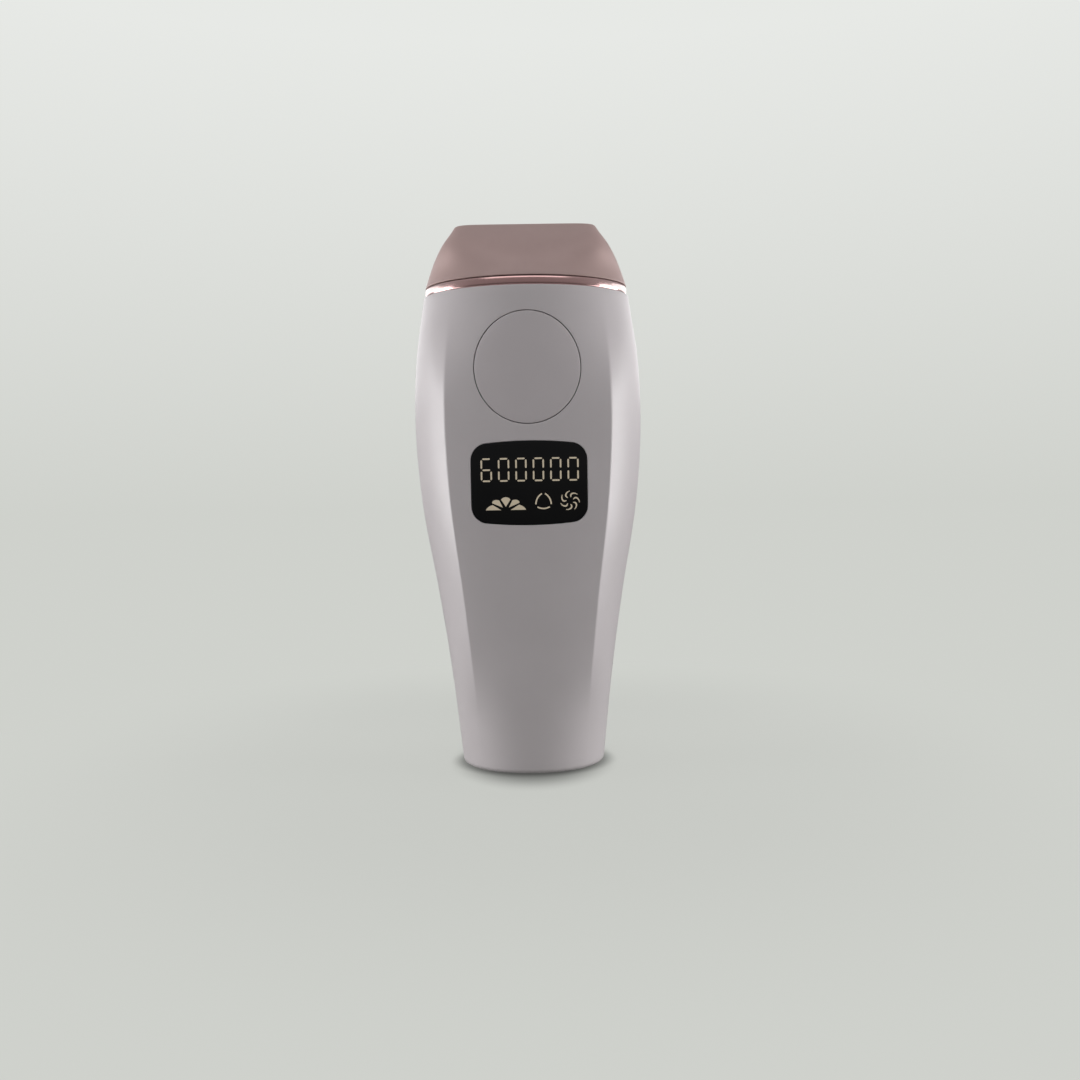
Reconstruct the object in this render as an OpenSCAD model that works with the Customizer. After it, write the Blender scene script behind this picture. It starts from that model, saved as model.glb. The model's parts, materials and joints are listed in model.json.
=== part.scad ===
// Handset of an IPL (intense pulsed light) hair remover, standing on its base with the window on top.
// Millimetres. +Z is up, the button and the display face -Y, and the origin is the centre of the base.

/* [Body] */
// Widest width of the body
body_width = 75.9; // [75.5:0.1:78]
// Depth of the body, front to back
body_depth = 50.4; // [50.4:0.2:52]
// Width of the flat base
base_width = 47.5; // [47:0.1:50]
// Width where the body meets the trim ring
rim_width = 68.8; // [68:0.2:70]
// Height of the body, up to the trim ring
body_height = 156.4; // [155.4:0.1:157]
// Wall thickness of the shells
wall = 2.2; // [2:0.1:2.4]
// Radius of the edge round the base
base_fillet = 1.6; // [1:0.1:2]

/* [Front panel] */
// Place of the crease beside the front panel, as a share of the half width
crease_share = 0.7; // [0.68:0.01:0.72]
// Drop of the front panel from its middle to the crease
panel_crown = 2.6; // [2.2:0.1:2.8]
// Angle by which the bevel turns back from the front at the crease
bevel_angle = 48; // [40:1:50]

/* [Head] */
// Height of the trim ring between the body and the head
ring_height = 3.1; // [2.8:0.1:3.2]
// Height of the head above the trim ring
head_height = 18.5; // [17.6:0.1:18.6]
// Width of the head's flat top
head_top_width = 46.4; // [46:0.2:48]
// Depth of the head's flat top
head_top_depth = 27; // [27:0.2:29]

/* [Front button] */
// Width of the oval button
button_width = 33.7; // [32:0.1:34]
// Height of the oval button
button_tall = 35.5; // [34:0.1:36]
// Height of the button's middle above the base
button_z = 130.4; // [129.6:0.1:130.8]
// Gap between the button and the front shell
button_gap = 0.25; // [0.2:0.05:0.3]
// How far a button travels when pressed
press_travel = 0.6; // [0.4:0.1:0.6]

/* [Display] */
// Width of the display window
display_width = 36.9; // [36.6:0.1:37.8]
// Height of the display window
display_tall = 26.6; // [26:0.1:27]
// Height of the display's middle above the base
display_z = 93.8; // [93:0.1:94.4]
// Pitch of the counter's digits
digit_pitch = 5.42; // [5.2:0.02:5.6]
// Height of a digit
digit_tall = 7.5; // [7.2:0.1:8]
// Width of a digit
digit_width = 3.6; // [3.4:0.1:3.9]
// Width of a stroke in a digit
stroke = 0.52; // [0.44:0.02:0.6]

/* [Cooling fan] */
// Side of the square fan
fan_side = 30; // [29:0.5:30]
// Depth of the fan
fan_deep = 10; // [9:0.5:10]
// Number of fan blades
fan_blades = 7; // [5:1:9]

/* [Hidden] */
$fn = 64;

// Heights of the parting lines and of the top
ring_z = body_height + ring_height;
head_z = ring_z + 0.1;
top_z = ring_z + head_height;

// Outline of the body as [share of its height, half width], from the base to the rim
half_base = base_width / 2;
half_body = body_width / 2;
half_rim = rim_width / 2;
function between(share) = half_base + (half_body - half_base) * share;
BODY_WIDTHS = [
    [0, half_base], [0.19, between(0.225)], [0.365, between(0.505)], [0.555, between(0.86)],
    [0.715, half_body], [0.86, 0.982 * half_body], [1, half_rim]
];
// Half depth of the body in the same form
half_deep = body_depth / 2;
rim_tuck = 0.9;
BODY_DEPTHS = [[0, half_deep - 3.9], [0.25, half_deep - 1.8], [0.7, half_deep], [1, half_deep - rim_tuck]];
// Outline of the head as [share of its height, half width] and [share, half depth]
half_top = head_top_width / 2;
head_rim_x = half_rim - 0.6;
head_rim_y = half_deep - 1.55;
HEAD_WIDTHS = [
    [0, head_rim_x], [0.24, head_rim_x - 1.5], [0.45, head_rim_x - 3.2],
    [0.68, head_rim_x - 5.95], [0.88, half_top + 1.55], [1, half_top]
];
HEAD_DEPTHS = [
    [0, head_rim_y], [0.3, head_rim_y - 1.4], [0.6, head_rim_y - 4.4], [1, head_top_depth / 2]
];
// Exponents of the body's section at its two ends and in its middle, and of the head's at its foot and top
BODY_ROUND = [2, 2.5];
HEAD_ROUND = [2, 8];
// Angle round the section, from the front, at which the crease lies
crease_at = asin(crease_share);
// Heights, as shares of the body, over which the crease fades in above the base and out below the ring
CREASE_IN = [0.1, 0.3];
CREASE_OUT = [0.74, 0.96];
// Heights over which the section squares up from the oval at each end
SQUARE_IN = [0, 0.3];
SQUARE_OUT = [0.72, 1];

// Smooth curve through a table's points, with the slope at each point taken from its neighbours
function slope(t, i) =
    let (a = max(i - 1, 0), b = min(i + 1, len(t) - 1)) (t[b][1] - t[a][1]) / (t[b][0] - t[a][0]);
function piece_of(t, u) = max([for (i = [0 : len(t) - 2]) if (u >= t[i][0] || i == 0) i]);
function curve(t, u) =
    let (
        i = piece_of(t, u),
        span = t[i + 1][0] - t[i][0],
        s = (u - t[i][0]) / span,
        h = s * s * (3 - 2 * s)
    )
    t[i][1] * (1 - h) + t[i + 1][1] * h
        + span * (slope(t, i) * s * (1 - s) * (1 - s) - slope(t, i + 1) * s * s * (1 - s));
function fade(ends, u) =
    let (s = min(1, max(0, (u - ends[0]) / (ends[1] - ends[0])))) s * s * (3 - 2 * s);
function mix(a, b, s) = a * (1 - s) + b * s;
function powered(v, n) = sign(v) * pow(abs(v), 2 / n);

// Bevel beside the front panel: a curve that leaves the crease at the bevel angle and ends square to the side
function bevel(x0, y0, half, s) =
    let (turn = y0 + (half - x0) * tan(bevel_angle))
    [
        (1 - s) * (1 - s) * x0 + 2 * s * (1 - s) * half + s * s * half,
        (1 - s) * (1 - s) * y0 + 2 * s * (1 - s) * turn
    ];
// Creased front of the section: a crowned panel between the creases and a bevel outside them
function creased(half, deep, angle) =
    let (across = sin(abs(angle)) / crease_share)
    abs(angle) <= crease_at
        ? [half * sin(angle), panel_crown * across * across - deep]
        : let (
            s = (abs(angle) - crease_at) / (90 - crease_at),
            b = bevel(half * crease_share, panel_crown - deep, half, s)
        )
        [sign(angle) * b[0], b[1]];
// Half width, half depth and section exponent of the body at a height
function body_half(z) = curve(BODY_WIDTHS, z / body_height);
function body_deep(z) = curve(BODY_DEPTHS, z / body_height);
function middle(ends_in, ends_out, z) =
    fade(ends_in, z / body_height) * (1 - fade(ends_out, z / body_height));
function body_round(z) = mix(BODY_ROUND[0], BODY_ROUND[1], middle(SQUARE_IN, SQUARE_OUT, z));
// Depth of a rounded section beside its middle, as a share of its half depth
function rounded_share(sine, n) = pow(max(0, 1 - pow(abs(sine), n)), 1 / n);
// Point on the body's skin: height, angle from the front (-90 to 90) or from the back, and inset
function front_point(z, angle, inset) =
    let (
        half = body_half(z) - inset,
        deep = body_deep(z) - inset,
        plain = [half * sin(angle), -deep * rounded_share(sin(angle), body_round(z))],
        p = mix(plain, creased(half, deep, angle), middle(CREASE_IN, CREASE_OUT, z))
    )
    [p[0], p[1], z];
function back_point(z, angle, inset) = [
    -(body_half(z) - inset) * sin(angle),
    (body_deep(z) - inset) * rounded_share(sin(angle), body_round(z)),
    z
];
// Point on the head's skin
function head_point(z, angle, inset) =
    let (
        u = (z - head_z) / (top_z - head_z),
        half = curve(HEAD_WIDTHS, u) - inset,
        deep = curve(HEAD_DEPTHS, u) - inset,
        n = mix(HEAD_ROUND[0], HEAD_ROUND[1], pow(u, 3))
    )
    [half * powered(sin(angle), n), -deep * powered(cos(angle), n), z];

// Angles of the front's columns, with one on each crease, and of the back's and the head's
side_steps = 7;
panel_steps = 12;
FRONT_ANGLES = [
    for (i = [0 : side_steps - 1]) mix(-90, -crease_at, i / side_steps),
    for (i = [0 : panel_steps]) mix(-crease_at, crease_at, i / panel_steps),
    for (i = [1 : side_steps]) mix(crease_at, 90, i / side_steps)
];
back_steps = 22;
BACK_ANGLES = [for (i = [0 : back_steps]) -90 + 180 * i / back_steps];
head_steps = 52;
HEAD_ANGLES = [for (i = [0 : head_steps - 1]) 360 * i / head_steps];
// Levels of the body's side between the base fillet and the rim
side_levels = 24;
fillet_steps = 3;
jack_hole_r = 5.5;

// Rows of a half shell's outer skin, or of its inner skin for an inset of the wall
function shell_rows(angles, inset, back) =
    let (foot = inset + base_fillet, side = back ? -1 : 1)
    [
        [for (a = angles) [side * jack_hole_r * sin(a), -side * jack_hole_r * cos(a), inset]],
        for (i = [0 : fillet_steps - 1])
            let (
                t = 90 * i / fillet_steps,
                z = inset + base_fillet * (1 - cos(t)),
                in = inset + base_fillet * (1 - sin(t))
            )
            [for (a = angles) back ? back_point(z, a, in) : front_point(z, a, in)],
        for (i = [0 : side_levels])
            let (z = mix(foot, body_height, i / side_levels))
            [for (a = angles) back ? back_point(z, a, inset) : front_point(z, a, inset)]
    ];
head_levels = 11;
head_hole = [17, 7.5];
// Rows of the head's skin, from its foot to the edge of its top and on to a hole in the top
function head_rows(inset) =
    let (top = top_z - inset)
    [
        for (i = [0 : head_levels])
            let (z = mix(head_z, top, i / head_levels))
            [for (a = HEAD_ANGLES) head_point(z, a, inset)],
        [for (a = HEAD_ANGLES) [head_hole[0] * powered(sin(a), 4), -head_hole[1] * powered(cos(a), 4), top]]
    ];

// Solid between an outer and an inner grid of the same size; closed joins the last column to the first
module sheet(outer, inner, closed = false) {
    rows = len(outer);
    cols = len(outer[0]);
    count = rows * cols;
    last = closed ? cols - 1 : cols - 2;
    points = [for (r = outer) for (p = r) p, for (r = inner) for (p = r) p];
    function at(r, c, side) = side * count + r * cols + c % cols;
    function quad(a, b, c, d) = [[a, b, c], [a, c, d]];
    skin = [
        for (r = [0 : rows - 2]) for (c = [0 : last])
            each quad(at(r, c, 0), at(r + 1, c, 0), at(r + 1, c + 1, 0), at(r, c + 1, 0))
    ];
    lining = [
        for (r = [0 : rows - 2]) for (c = [0 : last])
            each quad(at(r, c, 1), at(r, c + 1, 1), at(r + 1, c + 1, 1), at(r + 1, c, 1))
    ];
    ends = [
        for (c = [0 : last]) each concat(
            quad(at(0, c, 0), at(0, c + 1, 0), at(0, c + 1, 1), at(0, c, 1)),
            quad(at(rows - 1, c, 0), at(rows - 1, c, 1), at(rows - 1, c + 1, 1), at(rows - 1, c + 1, 0))
        )
    ];
    sides = closed ? [] : [
        for (r = [0 : rows - 2]) each concat(
            quad(at(r, 0, 0), at(r, 0, 1), at(r + 1, 0, 1), at(r + 1, 0, 0)),
            quad(at(r, cols - 1, 0), at(r + 1, cols - 1, 0), at(r + 1, cols - 1, 1), at(r, cols - 1, 1))
        )
    ];
    polyhedron(points, concat(skin, lining, ends, sides), convexity = 8);
}

// Turns a shape drawn in X and Y so that it lies in X and Z and is extruded from y0 to y1
module upright(y0, y1) {
    translate([0, y1, 0]) rotate([90, 0, 0]) linear_extrude(y1 - y0) children();
}
// Cylinder along Y, from y0 to y1
module along_y(x, z, r, y0, y1) {
    translate([x, y0, z]) rotate([-90, 0, 0]) cylinder(r = r, h = y1 - y0);
}
// Cylinder along X, centred on x = 0
module along_x(y, z, r, length) {
    translate([-length / 2, y, z]) rotate([0, 90, 0]) cylinder(r = r, h = length);
}
// Box from one corner to the opposite one
module block(low, high) {
    translate(low) cube(high - low);
}
// Oval and rounded rectangle, as outlines
oval_points = 72;
module oval(half_x, half_y) {
    polygon([
        for (i = [0 : oval_points - 1])
            [half_x * cos(360 * i / oval_points), half_y * sin(360 * i / oval_points)]
    ]);
}
corner_points = 6;
module rounded(width, tall, r) {
    polygon([
        for (q = [0 : 3]) for (i = [0 : corner_points])
            let (a = 90 * (q + i / corner_points))
            [
                (q == 0 || q == 3 ? 1 : -1) * (width / 2 - r) + r * cos(a),
                (q < 2 ? 1 : -1) * (tall / 2 - r) + r * sin(a)
            ]
    ]);
}
// Display outline: a rounded rectangle whose top and bottom edges bulge
display_corner = 4.6;
display_bulge = 1.3;
module display_outline(grow) {
    half_x = display_width / 2 + grow;
    half_y = display_tall / 2 + grow;
    edge = half_x - display_corner;
    function lift(x) = display_bulge * (1 - x * x / (edge * edge));
    top_edge = [for (i = [-5 : 5]) [i / 5 * edge, half_y - display_bulge + lift(i / 5 * edge)]];
    function corner(sx, sy) = [
        for (i = [1 : corner_points])
            let (a = 90 * i / corner_points)
            [
                sx * (edge + display_corner * sin(a)),
                sy * (half_y - display_bulge - display_corner * (1 - cos(a)))
            ]
    ];
    function flipped(list) = [for (i = [len(list) - 1 : -1 : 0]) list[i]];
    polygon(concat(
        top_edge, corner(1, 1), flipped(corner(1, -1)),
        [for (p = flipped(top_edge)) [p[0], -p[1]]], corner(-1, -1), flipped(corner(-1, 1))
    ));
}

// Screw places as [x, z]; shell screws run through from the back into the front shell
SHELL_SCREWS = [[7.6, 17], [-7.6, 17], [14.5, 67.5], [-14.5, 67.5]];
BOARD_SCREWS = [[0, 75.4], [9, 150.2], [-9, 150.2]];
boss_r = 2.7;
post_r = 2;
boss_bury = 0.2;
// How far a cutter reaches outside the skin and inside it
cut_out = 5;
cut_in = 12;
// Depth of the front or back skin at a distance from the middle, for ends that stop inside the wall
function front_skin(x, z) = front_point(z, asin(x / body_half(z)), 0)[1];
function back_skin(x, z) = back_point(z, asin(x / body_half(z)), 0)[1];
screw_r = 1.25;
screw_head_r = 2.4;
screw_slack = 0.2;
screw_shank_r = screw_r - screw_slack;
screw_seat_y = half_deep - 10;
screw_length = 23;
pilot_end_y = -14;
small_screw_r = 0.8;
small_head_r = 1.8;
// Depths of the inner faces that boards and posts meet
board_y = -16.6;
board_thick = 1.6;
// Front face of the display window, just under the crown of the panel
window_y = -half_deep + 0.7;

module front_shell() {
    color("#dcd6da") difference() {
        union() {
            sheet(shell_rows(FRONT_ANGLES, 0, false), shell_rows(FRONT_ANGLES, wall, false));
            for (s = SHELL_SCREWS)
                along_y(s[0], s[1], boss_r, front_skin(abs(s[0]) + boss_r, s[1]) + boss_bury, -0.1);
            for (s = BOARD_SCREWS)
                along_y(s[0], s[1], post_r, front_skin(abs(s[0]) + post_r, s[1]) + boss_bury, board_y);
        }
        upright(-half_deep - cut_out, -half_deep + cut_in) translate([0, button_z])
            oval(button_width / 2 + button_gap, button_tall / 2 + button_gap);
        upright(-half_deep - cut_out, -half_deep + cut_in) translate([0, display_z]) display_outline(0.1);
        for (s = SHELL_SCREWS) along_y(s[0], s[1], screw_shank_r, pilot_end_y, 0);
        for (s = BOARD_SCREWS) along_y(s[0], s[1], small_screw_r, board_y - 4, board_y + 1);
    }
}

// Rear trigger, an oval press on the back for the finger that fires the flash
trigger_width = 15;
trigger_tall = 18;
trigger_z = 110;
fan_z = 137;
vent_count = 7;
vent_pitch = 3.4;
vent_tall = 1.5;
vent_length = 24;
module rear_shell() {
    color("#dcd6da") difference() {
        union() {
            sheet(shell_rows(BACK_ANGLES, 0, true), shell_rows(BACK_ANGLES, wall, true));
            for (s = SHELL_SCREWS)
                along_y(s[0], s[1], boss_r, 0, back_skin(abs(s[0]) + boss_r, s[1]) - boss_bury);
        }
        upright(half_deep - cut_in, half_deep + cut_out) translate([0, trigger_z])
            oval(trigger_width / 2 + button_gap, trigger_tall / 2 + button_gap);
        for (i = [0 : vent_count - 1])
            upright(half_deep - cut_in, half_deep + cut_out)
                translate([0, fan_z + (i - (vent_count - 1) / 2) * vent_pitch])
                    rounded(vent_length, vent_tall, vent_tall / 2 - 0.01);
        for (s = SHELL_SCREWS) {
            along_y(s[0], s[1], screw_r + screw_slack, -1, half_deep + cut_out);
            along_y(s[0], s[1], screw_head_r + screw_slack, screw_seat_y, half_deep + cut_out);
        }
    }
}

// Trim ring: a bright oval band over a lip that drops inside the body's rim
ring_inset = 0.6;
band_thick = 3;
lip_drop = 2.6;
lip_gap = 0.3;
lip_thick = 2.2;
lip_x = half_rim - wall - lip_gap;
lip_y = half_deep - rim_tuck - wall - lip_gap;
module trim_ring() {
    outer_x = half_rim - ring_inset;
    outer_y = half_deep - rim_tuck - ring_inset;
    color("#b98f8b") difference() {
        union() {
            translate([0, 0, body_height]) linear_extrude(ring_height) oval(outer_x, outer_y);
            translate([0, 0, body_height - lip_drop]) linear_extrude(lip_drop + 0.5) oval(lip_x, lip_y);
        }
        translate([0, 0, body_height]) linear_extrude(ring_height + 1)
            oval(outer_x - band_thick, outer_y - band_thick);
        translate([0, 0, body_height - lip_drop - 1]) linear_extrude(lip_drop + 2)
            oval(lip_x - lip_thick, lip_y - lip_thick);
    }
}

// Socket that the head plugs into, under a deck that closes the body's top
plug_x = 28;
plug_y = 11;
plug_gap = 0.3;
deck_thick = 2;
socket_deep = 11;
socket_low = body_height - socket_deep;
// Air slots through the deck and the head's base, in front of the socket and behind it
DECK_VENTS = [-12, 12];
vent_slot_width = 24;
vent_slot_tall = 4;
vent_slot_r = 1.9;
module socket_deck() {
    color("#6d6d72") translate([0, 0, body_height + 0.1]) linear_extrude(deck_thick) difference() {
        oval(half_rim - band_thick - 0.6, half_deep - band_thick - 1.5);
        rounded(plug_x + 2 * plug_gap, plug_y + 2 * plug_gap, 2);
        for (y = DECK_VENTS) translate([0, y]) rounded(vent_slot_width, vent_slot_tall, vent_slot_r);
    }
}
PIN_PLACES = [-8, 0, 8];
pin_r = 0.8;
module head_socket() {
    color("#2f3033") difference() {
        translate([0, 0, socket_low]) linear_extrude(socket_deep) rounded(plug_x + 4, plug_y + 4, 2);
        translate([0, 0, socket_low + 4]) linear_extrude(socket_deep)
            rounded(plug_x + 2 * plug_gap, plug_y + 2 * plug_gap, 2);
        for (x = PIN_PLACES) translate([x, 0, socket_low - 1]) cylinder(r = 1.4, h = 8);
    }
}
module socket_contacts() {
    color("#c9a04a") for (x = PIN_PLACES) translate([x, 0, socket_low]) difference() {
        cylinder(r = 1.35, h = 3.9);
        translate([0, 0, 0.6]) cylinder(r = pin_r + 0.2, h = 4);
    }
}

// Display: a dark window, the lit marks on its face, the module behind it
module display_window() {
    color("#141516") upright(window_y, window_y + 2.6) translate([0, display_z]) display_outline(0);
}
// Which of the seven strokes a digit lights: top, two upper sides, middle, two lower sides, bottom
SIX = [true, true, false, true, true, true, true];
ZERO = [true, true, true, false, true, true, true];
COUNTER = [SIX, ZERO, ZERO, ZERO, ZERO, ZERO];
stroke_gap = 0.3;
module digit(lit) {
    across = digit_width - 2 * stroke - 2 * stroke_gap;
    down = digit_tall / 2 - 1.5 * stroke - 2 * stroke_gap;
    side_x = (digit_width - stroke) / 2;
    side_y = (digit_tall - stroke) / 4;
    for (i = [0 : 2]) if (lit[3 * i])
        translate([0, (1 - i) * (digit_tall - stroke) / 2]) square([across, stroke], center = true);
    for (i = [0 : 3]) if (lit[[1, 2, 4, 5][i]])
        translate([(i % 2 == 0 ? -1 : 1) * side_x, (i < 2 ? 1 : -1) * side_y])
            square([stroke, down], center = true);
}
// Level mark: a half fan of petals
petal_count = 5;
petal_r = 6.1;
module level_mark() {
    for (i = [0 : petal_count - 1]) {
        a = 180 * (i + 0.5) / petal_count;
        tip = petal_r * (i == 2 ? 0.74 : 0.86);
        polygon([
            for (s = [[0.28, -10], [0.8, -13], [1, 0], [0.8, 13], [0.28, 10]])
                [tip * s[0] * cos(a + s[1]), tip * s[0] * sin(a + s[1])]
        ]);
    }
}
// Mode mark: three strokes round a triangle
mode_r = 2.4;
module mode_mark() {
    for (i = [0 : 2]) rotate(120 * i + 30) translate([mode_r * 0.82, 0])
        square([0.55, mode_r * 1.35], center = true);
}
// Fan mark: curved blades round a centre
mark_blades = 7;
mark_r = 3.1;
module fan_mark() {
    for (i = [0 : mark_blades - 1]) rotate(360 * i / mark_blades)
        polygon([
            for (s = [[0.3, 0], [0.62, -8], [0.98, 14], [0.95, 34], [0.6, 18]])
                [mark_r * s[0] * cos(s[1]), mark_r * s[0] * sin(s[1])]
        ]);
}
mark_thick = 0.15;
// Places of the digits' row and of the marks, from the middle of the display
digit_row_z = display_z + 4.25;
LEVEL_MARK_AT = [-7.55, display_z - 8.45];
MODE_MARK_AT = [4.4, display_z - 5.9];
FAN_MARK_AT = [12.8, display_z - 5.8];
module display_segments() {
    color("#e6dcc0") upright(window_y - mark_thick, window_y) {
        for (i = [0 : 5]) translate([(i - 2.5) * digit_pitch, digit_row_z]) digit(COUNTER[i]);
        translate(LEVEL_MARK_AT) level_mark();
        translate(MODE_MARK_AT) mode_mark();
        translate(FAN_MARK_AT) fan_mark();
    }
}
module display_module() {
    color("#e9e9e4") upright(window_y + 2.7, board_y) translate([0, display_z])
        rounded(display_width - 3.1, display_tall - 2, display_corner);
}

// Control board behind the button and display, narrowed at its top, with its chips on the back
board_low = 73;
board_top = 152.4;
board_half = 20;
board_neck_half = 13;
board_neck_z = 140;
board_shoulder_z = 145;
// Chips as [low x, low z, high x, high z, thickness]
CHIPS = [[-6, 86, 6, 98, 1.6], [9, 88, 14, 94, 1.4], [-14, 120, -8, 126, 1.4], [-5, 108, 5, 114, 4.5]];
module control_board() {
    color("#2c6b45") difference() {
        union() {
            block([-board_half, board_y, board_low], [board_half, board_y + board_thick, board_shoulder_z]);
            block(
                [-board_neck_half, board_y, board_neck_z],
                [board_neck_half, board_y + board_thick, board_top]
            );
        }
        for (s = BOARD_SCREWS) along_y(s[0], s[1], 1.2, board_y - 1, board_y + 3);
    }
}
module control_chips() {
    back = board_y + board_thick;
    color("#26272a") for (c = CHIPS) block([c[0], back, c[1]], [c[2], back + c[4], c[3]]);
}

// Front skin of the body between two heights, filled back to a plane: trims a press to the body's shape
trim_steps = 11;
module skin_block(z0, z1, inset, plane) {
    outer = [
        for (r = [0 : trim_steps])
            let (z = mix(z0, z1, r / trim_steps))
            [for (i = [0 : trim_steps]) front_point(z, mix(-42, 42, i / trim_steps), inset)]
    ];
    inner = [for (r = outer) [for (p = r) [p[0], plane, p[2]]]];
    sheet(outer, inner);
}
flange_grow = 1.2;
button_flange_y = -18.6;
button_back_y = -17.4;
button_face = 1.9;
button_side = 1.6;
button_stem_r = 2;
plunger_y = -21.2;
// Oval of the button, grown or shrunk, under the front skin at an inset and in front of a plane
module button_slug(grow, inset, plane) {
    reach = button_tall / 2 + 3;
    intersection() {
        upright(-half_deep - 1, plane) translate([0, button_z])
            oval(button_width / 2 + grow, button_tall / 2 + grow);
        skin_block(button_z - reach, button_z + reach, inset, plane + 2);
    }
}
module front_button() {
    color("#d8d1d6") union() {
        difference() {
            union() {
                button_slug(0, 0.05, button_back_y);
                intersection() {
                    button_slug(flange_grow, wall + 0.2, button_back_y);
                    block([-30, button_flange_y, 100], [30, 0, 160]);
                }
            }
            button_slug(-button_side, button_face, button_back_y + 1);
        }
        along_y(0, button_z, button_stem_r, -half_deep + 1.2, plunger_y);
    }
}
// Tact switch: a square block whose bore takes a round plunger, which stops short of the bore's floor
switch_half = 3;
switch_tall = 3.6;
switch_floor = 0.9;
switch_bore_r = 1.8;
switch_plunger_r = 1.75;
plunger_clear = 0.1;
module front_switch() {
    color("#3b3c40") difference() {
        block(
            [-switch_half, board_y - switch_tall, button_z - switch_half],
            [switch_half, board_y, button_z + switch_half]
        );
        along_y(0, button_z, switch_bore_r, board_y - switch_tall - 1, board_y - switch_floor);
    }
}
module front_switch_plunger() {
    color("#e8e4da") along_y(
        0, button_z, switch_plunger_r,
        plunger_y, board_y - switch_floor - plunger_clear - press_travel
    );
}

trigger_face = half_deep - 0.9;
trigger_board_y = 14;
trigger_flange_y = 18.9;
module rear_trigger() {
    color("#b98f8b") difference() {
        union() {
            upright(trigger_flange_y, trigger_face) translate([0, trigger_z])
                oval(trigger_width / 2, trigger_tall / 2);
            upright(trigger_flange_y, trigger_flange_y + 1.1) translate([0, trigger_z])
                oval(trigger_width / 2 + flange_grow, trigger_tall / 2 + flange_grow);
        }
        difference() {
            upright(18, trigger_face - 1.6) translate([0, trigger_z])
                oval(trigger_width / 2 - 1.4, trigger_tall / 2 - 1.4);
            along_y(0, trigger_z, 2, 17, trigger_face);
        }
    }
}
module rear_switch_board() {
    color("#2c6b45") block([-11, trigger_board_y - 1.6, trigger_z - 8], [11, trigger_board_y, trigger_z + 8]);
}
module rear_switch() {
    color("#3b3c40") difference() {
        block(
            [-switch_half, trigger_board_y, trigger_z - switch_half],
            [switch_half, trigger_board_y + switch_tall, trigger_z + switch_half]
        );
        along_y(
            0, trigger_z, switch_bore_r,
            trigger_board_y + switch_floor, trigger_board_y + switch_tall + 1
        );
    }
}
module rear_switch_plunger() {
    color("#e8e4da") along_y(
        0, trigger_z, switch_plunger_r,
        trigger_board_y + switch_floor + plunger_clear + press_travel, trigger_flange_y
    );
}

// Power board down the middle of the grip, with the parts that charge and fire the lamp
power_y = -4.8;
power_back = power_y + board_thick;
power_half = 18.5;
power_low = 24;
power_high = 118;
module power_board() {
    color("#2c6b45") difference() {
        block([-power_half, power_y, power_low], [power_half, power_back, power_high]);
        for (s = SHELL_SCREWS) along_y(s[0], s[1], boss_r + 0.5, power_y - 1, power_y + 3);
    }
}
can_r = 10.8;
can_y = power_back + can_r + 1.4;
can_low = 28;
can_tall = 58;
can_edge = 0.8;
module storage_capacitor() {
    color("#2b2e52") translate([0, can_y, can_low]) rotate_extrude() polygon([
        [0, 0], [can_r - can_edge, 0], [can_r, can_edge], [can_r, 3], [can_r - 0.7, 3.6],
        [can_r, 4.2], [can_r, can_tall - can_edge], [can_r - can_edge, can_tall], [0, can_tall]
    ]);
}
// Transformer: a winding inside a square core, on a foot that stands on the board
core_middle_z = 55;
core_half = [10, 11];
core_limb = 3;
winding_tuck = 0.1;
module flyback_transformer() {
    y0 = power_y - 13;
    winding = [core_half[0] - core_limb, core_half[1] - core_limb];
    hole = winding + [winding_tuck, winding_tuck];
    color("#c8b36a") {
        block(
            [-winding[0], y0 + 1.5, core_middle_z - winding[1]],
            [winding[0], power_y - 1.5, core_middle_z + winding[1]]
        );
        difference() {
            block(
                [-core_half[0], y0 + 3.2, core_middle_z - core_half[1]],
                [core_half[0], power_y - 3.2, core_middle_z + core_half[1]]
            );
            block([-hole[0], y0, core_middle_z - hole[1]], [hole[0], power_y, core_middle_z + hole[1]]);
        }
        block([-9, power_y - 3.2, core_middle_z - 10], [9, power_y, core_middle_z - 8.2]);
    }
}
sink_low = 27;
sink_high = 43;
sink_half = 11;
sink_back_y = power_y - 3.4;
sink_plate = 2;
fin_reach = 6.6;
fin_count = 7;
fin_pitch = 3.4;
fin_thick = 1.4;
module heat_sink() {
    face = sink_back_y - sink_plate;
    color("#b9bcc0") {
        block([-sink_half, face, sink_low], [sink_half, sink_back_y, sink_high]);
        for (i = [0 : fin_count - 1]) let (x = i * fin_pitch - sink_half)
            block([x, face - fin_reach, sink_low], [x + fin_thick, face, sink_high]);
    }
}
LEG_PLACES = [-2.5, 0, 2.5];
module power_transistor() {
    color("#1f2023") {
        block([-5, sink_back_y, 29], [5, power_y - 0.2, 41]);
        for (x = LEG_PLACES) block([x - 0.4, power_y - 2.2, 26], [x + 0.4, power_y - 1.6, 29]);
    }
}
coil_half = 9;
coil_flange_r = 5;
coil_flange = 1.4;
module trigger_coil() {
    color("#7a3f2a") translate([0, power_back + coil_flange_r, 100]) rotate([0, 90, 0]) {
        translate([0, 0, 1 - coil_half]) cylinder(r = 3.6, h = 2 * coil_half - 2);
        for (z = [-coil_half, coil_half - coil_flange]) translate([0, 0, z])
            cylinder(r = coil_flange_r, h = coil_flange);
    }
}
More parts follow.
